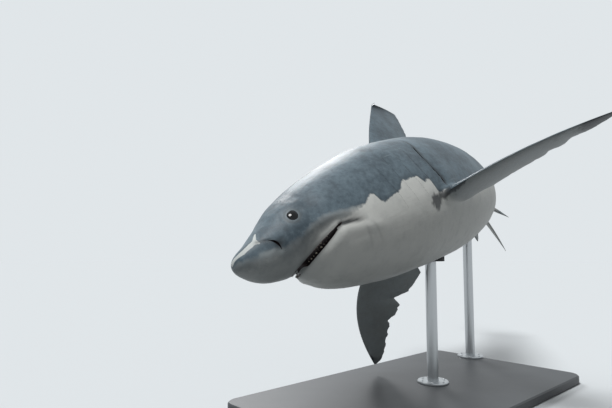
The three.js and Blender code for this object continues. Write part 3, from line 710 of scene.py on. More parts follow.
def paired_fin(name, fin):
    """A fin on one side, which droops and twists along an arc on its way out."""
    root, tip = fin["droop"]
    reach = fin["reach"]
    v, share, thick = fin_grid(fin, 0.035 / reach, 0.8, 0.016 / reach)
    droop = root + (tip - root) * v
    out = reach * (np.sin(droop) - math.sin(root)) / (tip - root)
    down = reach * (math.cos(root) - np.cos(droop)) / (tip - root)
    twist = fin["rootTwist"] + (fin["twist"] - fin["rootTwist"]) * v**0.7
    chord = chord_at(fin, v) * share
    lift = thick * np.cos(twist) - chord * np.sin(twist)
    at = lead_at(fin, v) + chord * np.cos(twist) + thick * np.sin(twist)
    side = fin["hand"] * (fin["side"] + out + lift * np.sin(droop))
    up = fin["up"] - down + lift * np.cos(droop)
    return loft(name, stiff_points(fin["frameAt"], at, side, up), 1)


def tail_fin():
    """Both lobes in one blade, from the lower tip (-1) to the upper one (1)."""
    share, foil, least = fin_ring()
    v = np.sin(np.linspace(-np.pi / 2, np.pi / 2, TAIL["steps"]))[:, None]
    out = np.abs(v)

    def lobe(key):
        return np.where(v >= 0, TAIL_UPPER[key], TAIL_LOWER[key])

    def edge(start, hollow):
        return start + (lobe("tipAt") - start) * out - hollow * np.sin(np.pi * out)

    nick = np.where(v >= 0, nick_depth(TAIL_UPPER["nicks"], out), 0)
    lead = edge(TAIL["front"], lobe("bow"))
    trail = np.maximum(edge(TAIL["fork"], lobe("hollow")) - nick, lead + MIN_CHORD)
    thick = least + foil * TAIL["half"] * (1 - out) ** FIN_TAPER
    return loft("tail", place_points(lead + (trail - lead) * share, thick, lobe("tipUp") * out), 1)


# ------------------------------------------------------------------ cutters

NOSTRIL_BEND = np.array([(0.0312, 0.0016), (0.0392, -0.0040), (0.0390, -0.0146)])
# widening, height over the skin in mm, from the open end of an eye socket to its floor
SOCKET = ((1.25, 14), (1.0, 1), (0.97, -5), (0.7, -11))
MOUTH_PLAY = 0.00004                # the gap is this much higher, so that it never quite closes
CUTTER_TOP = 16                     # how far a blade stands over the skin, in mm


def slot_cutter(name, path, hand, width, depth, lean=0.0):
    """A blade that follows a path of (at, up) over the skin; width(t), depth and lean in mm."""
    rings = []
    last = len(path) - 1
    frames = [skin_frame(at, up, hand) for at, up in path]
    for i, (middle, outward, _, _) in enumerate(frames):
        way = unit(frames[min(i + 1, last)][0] - frames[max(i - 1, 0)][0])
        across = np.cross(outward, way)
        half = across * width(i / last) / 2 * MILLI
        top = middle + outward * CUTTER_TOP * MILLI
        bottom = middle - outward * depth * MILLI + across * lean * MILLI
        rings.append([top - half, bottom - half / 2, bottom + half / 2, top + half])
    return loft(name, rings, 1)


def gill_cutters():
    """A blade for each slit on each side, wider in its middle and slanting in."""
    for gill in GILLS:
        _, _, top, bottom, width = gill
        path = [(gill_line(gill, up) + 0.5 * width * MM, up)
                for up in np.linspace(bottom + 0.002, top - 0.003, 48)]
        for hand in (1, -1):
            yield slot_cutter("gill", path, hand,
                              lambda t: 0.5 + width * math.sin(math.pi * t) ** 0.6, 26, -14 * hand)


def nostril_cutters():
    """A comma that drops from its thin front end."""
    start, bend, end = NOSTRIL_BEND
    path = [(1 - t) ** 2 * start + 2 * t * (1 - t) * bend + t**2 * end
            for t in np.linspace(0, 1, 26)]
    for hand in (1, -1):
        yield slot_cutter("nostril", path, hand,
                          lambda t: 3.0 + 15.0 * math.sin(math.pi * min(t, 0.96)) ** 1.5, 22)


def eye_cutters():
    """An oval socket for each eye."""
    cos, sin = math.cos(EYE["lean"]), math.sin(EYE["lean"])
    turn = turns(56)[:, None]
    tall, wide = EYE["opening"]
    for hand in (1, -1):
        middle, outward, tailward, upward = skin_frame(EYE["at"], EYE["up"], hand)
        ring = (tall * np.cos(turn) * (cos * tailward + sin * upward)
                + wide * np.sin(turn) * (cos * upward - sin * tailward))
        yield loft("eye", [middle + (ring * share + outward * height) * MILLI
                           for share, height in SOCKET], 1)


def mouth_cutter():
    """The gap between the lips: a flat rim, a gum on each jaw, and the hollow mouth behind them."""
    t, at, side, way = mouth_path(60)
    # Shallow at the front too, where the jaw closes on the muzzle, so that no light falls through.
    reach = MOUTH_SHALLOW + MOUTH_DEEP * (1 - t**2) ** 1.5 * fade(np.abs(t), 0.15, 0.5)
    waves = soft_waves(np.stack([at, side, 0 * at], -1), 41, 0.012)
    near = np.minimum(reach / 0.016, 1) * MM
    worn = 1 + 0.25 * np.clip(waves, -1, 1)
    high_gum, low_gum = GUM_RISE
    roof, floor = [], []
    # way in, rise of the roof, drop of the floor
    for inward, rise, drop in (
            (-0.0034, 0, 0), (0, 0, 0), (6 * near, 0.0001, 0.0001),
            (10 * near, -high_gum * worn, -low_gum * worn),
            (16 * near, -0.6 * high_gum, -0.8 * low_gum), (23 * near, 0.0010, 0.0010),
            (0.62 * reach, 0.0016, 0.0016), (0.92 * reach, 0.0010, 0.0010)):
        place, out = at + way[:, 0] * inward, side + way[:, 1] * inward
        top, gap = lip_top(place), lip_gap(place)
        share = gum_share(gap)
        roof.append(place_points(place, out, top + rise * share + MOUTH_PLAY))
        floor.append(place_points(place, out, top - gap - drop * share - MOUTH_PLAY))
    return loft("mouth", np.stack(roof + floor[::-1], 1), 1)


# ------------------------------------------------------------------ materials


def linear(hex_colour):
    """sRGB hex to linear light, with alpha."""
    channels = [int(hex_colour[i:i + 2], 16) / 255 for i in (1, 3, 5)]
    return (*(c / 12.92 if c <= 0.04045 else ((c + 0.055) / 1.055) ** 2.4 for c in channels), 1.0)


def brighter(colour, factor):
    return (*(channel * factor for channel in colour[:3]), 1.0)


def new_material(name):
    material = bpy.data.materials.new(name)
    material.use_nodes = True
    material.node_tree.nodes.clear()
    return material, material.node_tree


def add(tree, kind, inputs=None, curve=(), **settings):
    """Adds a node with its settings, links and values.

    inputs maps a socket's name or number to a value, a socket, or a node whose first live output is
    linked; curve holds the points of a curve node.
    """
    node = tree.nodes.new(kind)
    for key, value in settings.items():
        setattr(node, key, value)
    for key, value in (inputs or {}).items():
        socket = next(s for i, s in enumerate(node.inputs) if s.enabled and key in (i, s.name))
        if isinstance(value, bpy.types.Node):
            value = next(output for output in value.outputs if output.enabled)
        if isinstance(value, bpy.types.NodeSocket):
            tree.links.new(value, socket)
        else:
            socket.default_value = value
    if curve:
        points = node.mapping.curves[0].points
        points[0].location, points[1].location = curve[0], curve[-1]
        for x, y in curve[1:-1]:
            points.new(x, y)
        node.mapping.update()
    return node


def end_surface(tree, surface, height=None, strength=0.0, depth=0.0):
    """Ends a material in a surface, with bumps of a height whose depth is given in mm."""
    if height is not None:
        surface["Normal"] = add(tree, "ShaderNodeBump", {
            "Height": height, "Strength": strength, "Distance": depth * MILLI})
    shader = add(tree, "ShaderNodeBsdfPrincipled", surface)
    add(tree, "ShaderNodeOutputMaterial", {"Surface": shader})


def cloudy(tree, size, detail, first, second):
    """Soft clouds of a size in mm, and a colour that goes from one to another with them."""
    here = add(tree, "ShaderNodeTexCoord").outputs["Object"]
    clouds = add(tree, "ShaderNodeTexNoise", {
        "Vector": here, "Scale": 1 / (size * MILLI), "Detail": detail})
    colour = add(tree, "ShaderNodeMix", {"Factor": clouds, "A": first, "B": second},
                 data_type="RGBA")
    return clouds, colour


# place and height of the line between grey and white along the body
BORDER = (
    (0.0, -0.0110), (0.015, -0.0150), (0.030, -0.0180), (0.045, -0.0215), (0.060, -0.0200),
    (0.075, -0.0165), (0.090, -0.0120), (0.109, -0.0120), (0.147, -0.0140), (0.158, -0.0100),
    (0.168, -0.0055), (0.174, -0.0170), (0.183, -0.0230), (0.194, -0.0190), (0.208, -0.0175),
    (0.219, -0.0140), (0.227, -0.0062), (0.242, -0.0072), (0.256, -0.0092), (0.261, -0.0200),
    (0.272, -0.0180), (0.279, -0.0400), (0.340, -0.0430), (0.385, -0.0400), (0.46, -0.0260),
    (0.56, -0.0380), (0.64, -0.0220), (0.74, -0.0120), (0.86, -0.0080), (1.0, -0.0040))
BORDER_LOW, BORDER_SPAN = -0.06, 0.08       # heights that the curve's 0 to 1 stand for
RAGGEDNESS = 0.008                          # how far its tongues and frays reach
SOFT_BORDER, SHARP_BORDER = 0.0095, 0.0012  # its width on the head, and from the gills back


def skin_clouds(tree, here, place):
    """The noises of the skin, by name, with the size of their largest spots in mm."""
    cloud = {}
    # The real denticles are 0.3 mm, too fine to show, so the grain is drawn 3 mm wide.
    for name, size, detail, rough in (
            ("tongues", 111.1, 2, 0.55), ("frays", 29.41, 4, 0.60), ("patches", 222.2, 4, 0.55),
            ("mottle", 26.32, 5, 0.65), ("smudges", 71.43, 5, 0.60), ("grain", 3.03, 2, 0.55)):
        cloud[name] = add(tree, "ShaderNodeTexNoise", {
            "Vector": here, "Scale": 1 / (size * MILLI), "Detail": detail, "Roughness": rough})
    # Long marks along the body: their length, breadth and height in mm.
    for name, sizes, detail, rough in (("scratches", (291.7, 43.75, 17.5), 5, 0.70),
                                       ("wrinkles", (424.2, 63.64, 25.45), 6, 0.60)):
        stretched = add(tree, "ShaderNodeVectorMath", {
            0: place, 1: [1 / (size * MM) for size in sizes]}, operation="MULTIPLY")
        cloud[name] = add(tree, "ShaderNodeTexNoise", {
            "Vector": stretched, "Scale": 1.0, "Detail": detail, "Roughness": rough})
    return cloud


def skin_material(settings):
    """Shark skin: a slate back and a white belly that meet in a ragged line, matt and rough."""
    material, tree = new_material("shark skin, slate over white")
    here = add(tree, "ShaderNodeTexCoord").outputs["Object"]
    place, marks_and_shade, fins = (add(tree, "ShaderNodeAttribute", attribute_name=name).outputs["Vector"]
                          for name in ("place", "marks_and_shade", "fins"))
    (at, _, up), (crease_shade, scrape, ring), (on_fin, fin_grey, fin_dark) = (
        add(tree, "ShaderNodeSeparateXYZ", {0: vector}).outputs for vector in (place, marks_and_shade, fins))
    cloud = skin_clouds(tree, here, place)
    # Pores of the snout, about 3 mm across and 14 mm apart.
    pores = add(tree, "ShaderNodeTexVoronoi", {"Vector": here, "Scale": 1 / (13.89 * MILLI)})

    # Height over the ragged border.
    border = add(tree, "ShaderNodeFloatCurve", {"Value": at}, curve=[
        (x, (height - BORDER_LOW) / BORDER_SPAN) for x, height in BORDER])
    line = add(tree, "ShaderNodeMath", {0: border, 1: BORDER_SPAN, 2: BORDER_LOW},
               operation="MULTIPLY_ADD")
    edge = add(tree, "ShaderNodeMath", {0: up, 1: line}, operation="SUBTRACT")
    for name in ("tongues", "frays"):
        frayed = add(tree, "ShaderNodeMath", {0: cloud[name], 1: 0.5}, operation="SUBTRACT")
        edge = add(tree, "ShaderNodeMath", {0: frayed, 1: RAGGEDNESS, 2: edge},
                   operation="MULTIPLY_ADD")
    scraped = add(tree, "ShaderNodeMath", {0: frayed, 1: 0.35, 2: scrape},
                  operation="MULTIPLY_ADD")

    # Masks: 0 at the first value and 1 at the second, smooth between them.
    mask = {
        name: add(tree, "ShaderNodeMapRange", {"Value": value, "From Min": zero, "From Max": one},
                  interpolation_type="SMOOTHSTEP")
        for name, value, zero, one in (
            ("snout", at, 0.075, 0.045), ("muzzle", at, 0.095, 0.060), ("trunk", at, 0.10, 0.16),
            ("underside", up, -0.012, -0.026), ("fringe", edge, 0.010, 0.0),
            ("light patch", cloud["patches"], 0.35, 0.68),
            ("light spot", cloud["mottle"], 0.45, 0.75), ("dark spot", cloud["mottle"], 0.52, 0.30),
            ("scratch", cloud["scratches"], 0.60, 0.72), ("smudge", cloud["smudges"], 0.45, 0.80),
            ("scrape", scraped, 0.42, 0.58), ("pore", pores, 0.18, 0.08))}
    softness = add(tree, "ShaderNodeMath", {
        0: mask["trunk"], 1: SHARP_BORDER - SOFT_BORDER, 2: SOFT_BORDER}, operation="MULTIPLY_ADD")
    over = add(tree, "ShaderNodeMath", {0: edge, 1: softness}, operation="DIVIDE")
    on_body = add(tree, "ShaderNodeMath", {0: over, 1: 0.5, 2: 0.5}, operation="MULTIPLY_ADD",
                  use_clamp=True)
    grey = add(tree, "ShaderNodeMix", {"Factor": on_fin, "A": on_body, "B": fin_grey})
    off_fin = add(tree, "ShaderNodeMath", {0: 1.0, 1: on_fin}, operation="SUBTRACT")

    def coat(under, over, *shares):
        """Lays a colour over another, as far as the product of some shares."""
        share = shares[0]
        for other in shares[1:]:
            share = add(tree, "ShaderNodeMath", {0: share, 1: other}, operation="MULTIPLY")
        return add(tree, "ShaderNodeMix", {"Factor": share, "A": under, "B": over},
                   data_type="RGBA")

    # Slate of the back: broad cloudy patches, fine mottling, long faint scratches along the body.
    slate = linear(settings.back_dark)
    for over, *shares in (
            (settings.back_light, mask["light patch"]), ("#74858e", mask["light spot"], 0.45),
            ("#353e45", mask["dark spot"], 0.40), ("#94a0a5", mask["scratch"], 0.38)):
        slate = coat(slate, linear(over), *shares)
    # White of the belly: a little warm, with grey smudges.
    white = coat(linear(settings.belly), linear("#b4b8b6"), mask["smudge"], 0.4)
    colour = coat(white, slate, grey)
    # Painted shade under the muzzle, a darker fringe inside the grey, dark tips of the fins, the
    # scrape on the snout, the pale ring round the eye, painted shade in creases, and pores.
    for over, *shares in (
            ("#737c80", mask["underside"], mask["muzzle"], 0.6),
            ("#323b42", grey, mask["fringe"], off_fin, 0.45), ("#23282d", fin_dark),
            ("#d3d8d6", mask["scrape"], 0.9), ("#a7afb1", ring), ("#14181b", crease_shade, 0.95),
            ("#262c31", mask["pore"], mask["snout"], 0.25)):
        colour = coat(colour, linear(over), *shares)

    height = 0.0
    pitted = add(tree, "ShaderNodeMath", {0: mask["pore"], 1: mask["snout"]}, operation="MULTIPLY")
    for pattern, tall in ((cloud["mottle"], 0.8), (cloud["grain"], 0.25),
                          (cloud["wrinkles"], 0.9), (pitted, -0.8)):
        height = add(tree, "ShaderNodeMath", {0: pattern, 1: tall, 2: height},
                     operation="MULTIPLY_ADD")
    rough = add(tree, "ShaderNodeMath", {0: cloud["mottle"], 1: 0.18, 2: 0.40},
                operation="MULTIPLY_ADD")
    end_surface(tree, {"Base Color": colour, "Roughness": rough, "IOR": 1.42}, height, 0.38, 4)
    return material


def lining_material():
    """Mouth lining and the inside of slits: damp flesh, near-black with painted shade inside,
    greyish pink on the gums.
    """
    material, tree = new_material("mouth lining")
    # Painted shade: the lining away from the gums is near-black.
    cloud, deep_shade = cloudy(tree, 22.22, 3, linear("#120e0f"), linear("#2c2122"))
    _, flesh = cloudy(tree, 22.22, 3, linear("#4a3d3e"), linear("#806d6c"))
    gum = add(tree, "ShaderNodeAttribute", attribute_name="gum").outputs["Fac"]
    colour = add(tree, "ShaderNodeMix", {"Factor": gum, "A": deep_shade, "B": flesh}, data_type="RGBA")
    end_surface(tree, {"Base Color": colour, "Roughness": 0.5, "IOR": 1.38}, cloud, 0.4, 3)
    return material


def eye_material(middle, outward):
    """Glass eye: a black pupil in a very dark blue iris under a clear polished surface."""
    material, tree = new_material("polished glass eye")
    here = add(tree, "ShaderNodeTexCoord").outputs["Object"]
    inner = add(tree, "ShaderNodeVectorMath", {0: here, 1: middle}, operation="SUBTRACT")
    # The way from the eye's axis, square to it.
    away = add(tree, "ShaderNodeVectorMath", {0: inner, 1: outward}, operation="DOT_PRODUCT")
    axis = add(tree, "ShaderNodeVectorMath", {0: outward, "Scale": away}, operation="SCALE")
    flat = add(tree, "ShaderNodeVectorMath", {0: inner, 1: axis}, operation="SUBTRACT")
    radius = add(tree, "ShaderNodeVectorMath", {0: flat}, operation="LENGTH")
    # Streaks of the iris are 4 mm wide; the pupil is 27 to 30 mm across.
    streaks = add(tree, "ShaderNodeTexNoise", {
        "Vector": flat, "Scale": 1 / (3.846 * MILLI), "Detail": 3})
    iris = add(tree, "ShaderNodeMix", {
        "Factor": streaks, "A": linear("#040608"), "B": linear("#0a0f13")}, data_type="RGBA")
    on_iris = add(tree, "ShaderNodeMapRange", {
        "Value": radius, "From Min": 13.5 * MILLI, "From Max": 15 * MILLI})
    colour = add(tree, "ShaderNodeMix", {"Factor": on_iris, "A": linear("#020304"), "B": iris},
                 data_type="RGBA")
    end_surface(tree, {"Base Color": colour, "Roughness": 0.08, "IOR": 1.38})
    return material


def enamel_material():
    """Tooth enamel: off-white with yellower stains, glossy."""
    material, tree = new_material("tooth enamel")
    stain, colour = cloudy(tree, 9.091, 3, linear("#d9d3c2"), linear("#b5aa8e"))
    end_surface(tree, {"Base Color": colour, "Roughness": 0.28, "IOR": 1.62}, stain, 0.2, 1)
    return material


def paint_material(settings):
    """Satin spray paint on a timber plinth: even charcoal with a faint orange peel."""
    material, tree = new_material("satin charcoal paint")
    base = linear(settings.paint)
    dust, colour = cloudy(tree, 333.3, 6, base, brighter(base, 1.35))
    peel, _ = cloudy(tree, 2.381, 1, base, base)
    rough = add(tree, "ShaderNodeMapRange", {"Value": dust, "To Min": 0.36, "To Max": 0.52})
    end_surface(tree, {"Base Color": colour, "Roughness": rough, "IOR": 1.5}, peel, 0.12, 0.6)
    return material


def steel_material(settings):
    """Brushed stainless steel: fine upright lines in a pale grey metal."""
    material, tree = new_material("brushed stainless steel")
    here = add(tree, "ShaderNodeTexCoord").outputs["Object"]
    # The lines are 1.1 mm wide and 83 mm long.
    lines = add(tree, "ShaderNodeMapping", {
        "Vector": here, "Scale": [1 / (size * MILLI) for size in (1.111, 1.111, 83.33)]})
    brush = add(tree, "ShaderNodeTexNoise", {"Vector": lines, "Scale": 1.0, "Detail": 2})
    rough = add(tree, "ShaderNodeMapRange", {"Value": brush, "To Min": 0.24, "To Max": 0.42})
    end_surface(tree, {"Base Color": linear(settings.steel), "Metallic": 1.0, "Roughness": rough},
                brush, 0.15, 0.4)
    return material


def rubber_material():
    """Moulded black rubber pad: matt, with a fine pebble."""
    material, tree = new_material("moulded rubber")
    here = add(tree, "ShaderNodeTexCoord").outputs["Object"]
    pebble = add(tree, "ShaderNodeTexVoronoi", {"Vector": here, "Scale": 1 / (2.632 * MILLI)})
    colour = add(tree, "ShaderNodeMix", {
        "Factor": pebble, "A": linear("#151617"), "B": linear("#242628")}, data_type="RGBA")
    end_surface(tree, {"Base Color": colour, "Roughness": 0.75, "IOR": 1.5}, pebble, 0.3, 0.8)
    return material


# ------------------------------------------------------------------ settings a user would change


class SharkSkinSettings(bpy.types.PropertyGroup):
    back_dark: bpy.props.StringProperty(
        name="Back, dark", description="sRGB hex of the slate back's dark patches",
        default="#46545d")
    back_light: bpy.props.StringProperty(
        name="Back, light", description="sRGB hex of the slate back's light patches",
        default="#63747e")
    belly: bpy.props.StringProperty(
        name="Belly", description="sRGB hex of the belly", default="#d9dbd7")


class SharkTeethSettings(bpy.types.PropertyGroup):
    count: bpy.props.IntProperty(
        name="Teeth in a row", description="Teeth that show along each side of a jaw",
        default=10, min=4, max=30)
    height: bpy.props.FloatProperty(
        name="Height", description="Height of the largest tooth", default=0.007,
        min=0.004, max=0.05, unit="LENGTH")


class SharkStandSettings(bpy.types.PropertyGroup):
    paint: bpy.props.StringProperty(
        name="Paint", description="sRGB hex of the plinth's paint", default="#35383b")
    steel: bpy.props.StringProperty(
        name="Steel", description="sRGB hex of the rods' steel", default="#b4b7b9")
    bolts: bpy.props.IntProperty(
        name="Bolts", description="Bolts in each flange", default=6, min=3, max=12)


class SharkStageSettings(bpy.types.PropertyGroup):
    lens: bpy.props.FloatProperty(
        name="Lens", description="Focal length on a 36 mm wide sensor", default=29.8,
        min=10, max=200, unit="CAMERA")
    pitch: bpy.props.FloatProperty(
        name="Camera pitch", description="Angle the camera looks up by",
        default=math.radians(5.0), subtype="ANGLE")
    heading: bpy.props.FloatProperty(
        name="Camera heading", description="Turn of the camera from +Y towards -X",
        default=math.radians(46.98), subtype="ANGLE")
    stand_off: bpy.props.FloatVectorProperty(
        name="Camera from the snout", description="Camera's place from the snout tip",
        default=(1.948, -1.379, 0.075), subtype="XYZ")
    backdrop: bpy.props.StringProperty(
        name="Backdrop", description="sRGB hex of the floor and the background",
        default="#d3d8db")
    level: bpy.props.FloatProperty(
        name="Light", description="Light on the floor; at 1 a colour renders as written",
        default=1.15, min=0)
    fill: bpy.props.FloatProperty(
        name="Fill", description="The part of it that comes from all round", default=0.20,
        min=0, max=1)
    rim: bpy.props.FloatProperty(
        name="Rim", description="Share of the lamps' light that comes from behind", default=0.3,
        min=0, max=1)
    bounce: bpy.props.FloatProperty(
        name="Bounce", description="Share of its light that the floor throws back", default=0.28,
        min=0, max=1)


# ------------------------------------------------------------------ skin

# The scrape on the snout: strips from one body place to another, and their half widths in mm.
SCRAPE_PLACES = ((-0.0050, 0.0000, 0.0020), (0.0050, 0.0152, 0.0046), (0.0195, 0.0222, 0.0086),
                 (0.0300, 0.0180, 0.0185), (0.0218, 0.0260, 0.0044))
SCRAPE_STRIPS = ((0, 1, 11, 14), (1, 2, 14, 17), (2, 3, 12, 5), (2, 4, 11, 6))
# The pale flap of skin below the nostril: its ends, as at and up.
NOSTRIL_FLAP = (0.0172, -0.0093), (0.0382, -0.0156)
# The dark blotch under the root of each pectoral: place, height, length and breadth of its parts.
BLOTCH = ((0.2690, -0.0485, 0.015, 0.0105), (0.2880, -0.0450, 0.022, 0.0070))
SOFTENED, SOFTENING_ROUNDS = 0.045, 24      # how far round a fin's root the skin is softened, in m


def fin_masks(points, places, upper_side):
    """How grey and how dark the fins are at every point."""
    at, side, up = places.T
    wide = np.abs(side)
    pectoral = (at > 0.255) & (at < 0.45) & (wide > 0.07) & (up < 0.0)
    pelvic = (at > 0.54) & (at < 0.68) & (up < -0.03) & ~pectoral
    anal = (at > 0.74) & (at < 0.80) & (up < -0.02)
    dorsal = (up > 0.05) & (at < 0.80)
    tail = at > 0.845
    waves = soft_waves(points, 17, 0.16)
    # The paired fins are slate on top and a slate and white mix underneath, where their own white is
    # darkened with painted shade.
    grey = np.where(pectoral | pelvic, 0.60 + 0.40 * upper_side, 1.0)
    grey = np.maximum(grey, pectoral * (1 - fade(wide, 0.09, 0.13)) * fade(up, -0.054, -0.044))
    grey = np.where(anal, 0.15, grey)
    grey = np.where(tail, fade(up + 0.012 * waves, -0.045, -0.02) * 0.75 + 0.25, grey)
    # Black tips under the pectorals and a dark rear edge on the upright fins.
    out = np.clip((wide - 0.09) / 0.19, 0, 1)
    tips = fade(out + 0.06 * waves, 0.72, 0.86) * (1 - 0.55 * upper_side)
    dark = np.where(dorsal, 0.35 * fade(up, 0.16, 0.215), pectoral * tips)
    dark = np.where(tail, 0.35 * fade(np.abs(up), 0.09, 0.14), dark)
    # The blotch stays on the body and the underside of the fin.
    blotch = np.max([bump(at - place, long) * bump(up - high, broad)
                     for place, high, long, broad in BLOTCH], axis=0)
    blotch *= fade(wide, 0.05, 0.07) * (1 - fade(wide, 0.090, 0.100) * fade(upper_side, 0.3, 0.6))
    fine = soft_waves(points, 23, 0.06, 4)
    return grey, np.maximum(dark, 0.85 * fade(blotch + 0.22 * fine, 0.38, 0.62))


def set_attributes(mesh):
    """Body places, markings with painted shade, fin masks and gums of every point, for the skin and
    lining materials.
    """
    points = values_of(mesh.vertices, "co", 3)
    places = body_places(points)
    at, side, up = places.T
    wide = np.abs(side)
    upper_side = fade((values_of(mesh.vertices, "normal", 3) @ POSE_TURN)[:, 2], -0.25, 0.25)
    # Painted shade in the creases of the relief.
    _, crease_shade = relief(at, side, up)

    # Off the body: how far outside the plain section a point lies.
    inside = np.clip(at, SNOUT_START + 0.001, BODY_END - 0.001)
    half, over = half_at(inside), up - middle_at(inside)
    lift = np.abs(over) / reach_at(inside, over >= 0)
    radial = np.where(at > BODY_END - 0.001, 3.0, np.hypot(side / half, lift))
    keel = 0.6 * fade(at, 0.77, 0.80) * bump(over, 0.008)
    off_body = fade(radial, 1.05 + keel, 1.16 + keel)
    grey, dark = fin_masks(points, places, upper_side)

    scrape = np.zeros(len(points))
    for start, end, half_start, half_end in SCRAPE_STRIPS:
        distance, t = strip_distance(places, SCRAPE_PLACES[start], SCRAPE_PLACES[end])
        edge = half_start + (half_end - half_start) * t
        scrape = np.maximum(scrape, 1 - 0.5 * distance / edge)
    from_flap, _ = strip_distance(places[:, (0, 2)], *NOSTRIL_FLAP)
    ring = np.maximum(0.3 * bump(eye_distance(at, side, up) - 36, 9), 0.65 * bump(from_flap, 13))

    # Gums: the lining of the mouth next to the lips.
    skin_side = half * np.sqrt(1 - np.clip(lift, 0, 1) ** (2 / low_fullness_at(inside)))
    gum = fade(at, 0.074, 0.082) * (1 - fade((skin_side - wide) / MM, 15, 28))
    gum *= (at < 0.12) & (up < -0.015)

    # The second vector holds painted shade in creases, the scrape, and the pale ring and flap.
    for name, *columns in (("place", at, side, up), ("marks_and_shade", crease_shade, scrape, ring),
                           ("fins", off_body, grey, dark)):
        layer = mesh.attributes.new(name, "FLOAT_VECTOR", "POINT")
        layer.data.foreach_set("vector", np.stack(columns, -1).astype(np.float32).ravel())
    mesh.attributes.new("gum", "FLOAT", "POINT").data.foreach_set("value", gum.astype(np.float32))


class SHARK_OT_skin(bpy.types.Operator):
    """Build the one-piece skin of the body and all fins, with its mouth, nostrils and gill slits"""
    bl_idname = "shark.skin"
    bl_label = "Skin"

    def execute(self, context):
        materials = [skin_material(context.scene.shark_skin), lining_material()]
        skin = body_loft()
        combine(skin, join("fins", [
            upright_fin("dorsal", DORSAL), upright_fin("second dorsal", SECOND_DORSAL),
            upright_fin("anal", ANAL), paired_fin("pectoral left", PECTORAL_LEFT),
            paired_fin("pectoral right", PECTORAL_RIGHT),
            paired_fin("pelvic left", dict(PELVIC, hand=1)),
            paired_fin("pelvic right", dict(PELVIC, hand=-1)), tail_fin()]), "UNION", materials)
        mesh = skin.data
        roots = seams(mesh, mesh.vertices, "vertex_index")
        soften(mesh, np.nonzero(roots)[0], SOFTENED, SOFTENING_ROUNDS)
        # The fins count as skin from here on, so that only what the cutters leave is lining.
        mesh.polygons.foreach_set("material_index", [0] * len(mesh.polygons))
        combine(skin, join("cutters", [
            mouth_cutter(), *gill_cutters(), *nostril_cutters(), *eye_cutters()]),
            "DIFFERENCE", materials)
        mesh = skin.data
        set_attributes(mesh)
        smooth(mesh)
        # Lips, slits and eye rims keep a crisp edge.
        mesh.edges.foreach_set("use_edge_sharp", seams(mesh, mesh.edges, "edge_index"))
        mesh.update()
        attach(skin, "root")
        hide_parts(*FLESH)
        return {"FINISHED"}


# ------------------------------------------------------------------ eyes


class SHARK_OT_eyes(bpy.types.Operator):
    """Set a polished glass eye in each socket"""
    bl_idname = "shark.eyes"
    bl_label = "Eyes"

    def execute(self, context):
        turn = turns(56)[:, None]
        for name, hand in (("eye_left", 1), ("eye_right", -1)):
            middle, outward, tailward, upward = skin_frame(EYE["at"], EYE["up"], hand)
            centre = middle - outward * EYE["sunk"] * MILLI
            circle = (np.cos(turn) * tailward + np.sin(turn) * upward) * EYE["radius"] * MILLI
            piece = loft(name + "_glass", [
                centre + circle * math.sqrt(1 - lift**2) + outward * lift * EYE["depth"] * MILLI
                for lift in np.linspace(-0.97, 0.995, 28)])
            smooth(piece.data)
            piece.data.materials.append(eye_material(centre, outward))
            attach(piece, "root")
            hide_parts(name)
        return {"FINISHED"}


# ------------------------------------------------------------------ geometry nodes


def new_group(name, **sockets):
    """A geometry node group with inputs of these kinds, and the outputs of its input node."""
    tree = bpy.data.node_groups.new(name, "GeometryNodeTree")
    for socket, kind in sockets.items():
        tree.interface.new_socket(socket, in_out="INPUT", socket_type="NodeSocket" + kind)
    tree.interface.new_socket("Geometry", in_out="OUTPUT", socket_type="NodeSocketGeometry")
    return tree, add(tree, "NodeGroupInput").outputs


def end_in_copies(tree, points, shape, material, **placing):
    """Ends a group in real copies of a piece on points, turned and scaled as given."""
    shape = add(tree, "GeometryNodeObjectInfo", {"Object": shape}).outputs["Geometry"]
    placed = add(tree, "GeometryNodeInstanceOnPoints", {
        "Points": points, "Instance": shape, **placing})
    real = add(tree, "GeometryNodeRealizeInstances", {0: placed})
    done = add(tree, "GeometryNodeSetMaterial", {"Geometry": real, "Material": material})
    add(tree, "NodeGroupOutput", {0: done})


def bake_nodes(piece, tree, **inputs):
    """Runs a node group on a piece with its inputs set by name, and keeps the plain mesh."""
    nodes = piece.modifiers.new("nodes", "NODES")
    nodes.node_group = tree
    for item in tree.interface.items_tree:
        if item.in_out == "INPUT" and item.name in inputs:
            nodes[item.identifier] = inputs[item.name]
    keep_result(piece)


# ------------------------------------------------------------------ teeth

# name, way the teeth point, width of the largest in m, share of the full height, seed
TEETH_ROWS = (("upper_teeth", -1, 0.013, 0.6, 3), ("lower_teeth", 1, 0.010, 1.0, 8))
TOOTH_SIZES = ((0, 0.35), (0.25, 0.9), (0.5, 1), (0.75, 0.9), (1, 0.35))   # along a row


def tooth_mesh():
    """One flat triangular tooth, 1 high along Z and 1 wide along X, with a rounded front."""
    rings = []
    for up in (-0.25, 0.0, 0.2, 0.45, 0.7, 0.88, 1.0):
        rise = max(up, 0)
        half, thick = 0.5 * (1 - rise) ** 0.9 + 0.015, 0.16 * (1 - rise) ** 0.7 + 0.01
        rings.append([(half * math.cos(turn), thick * math.sin(turn) + 0.10 * rise**2, up)
                      for turn in turns(10)])
    return loft("tooth", rings)


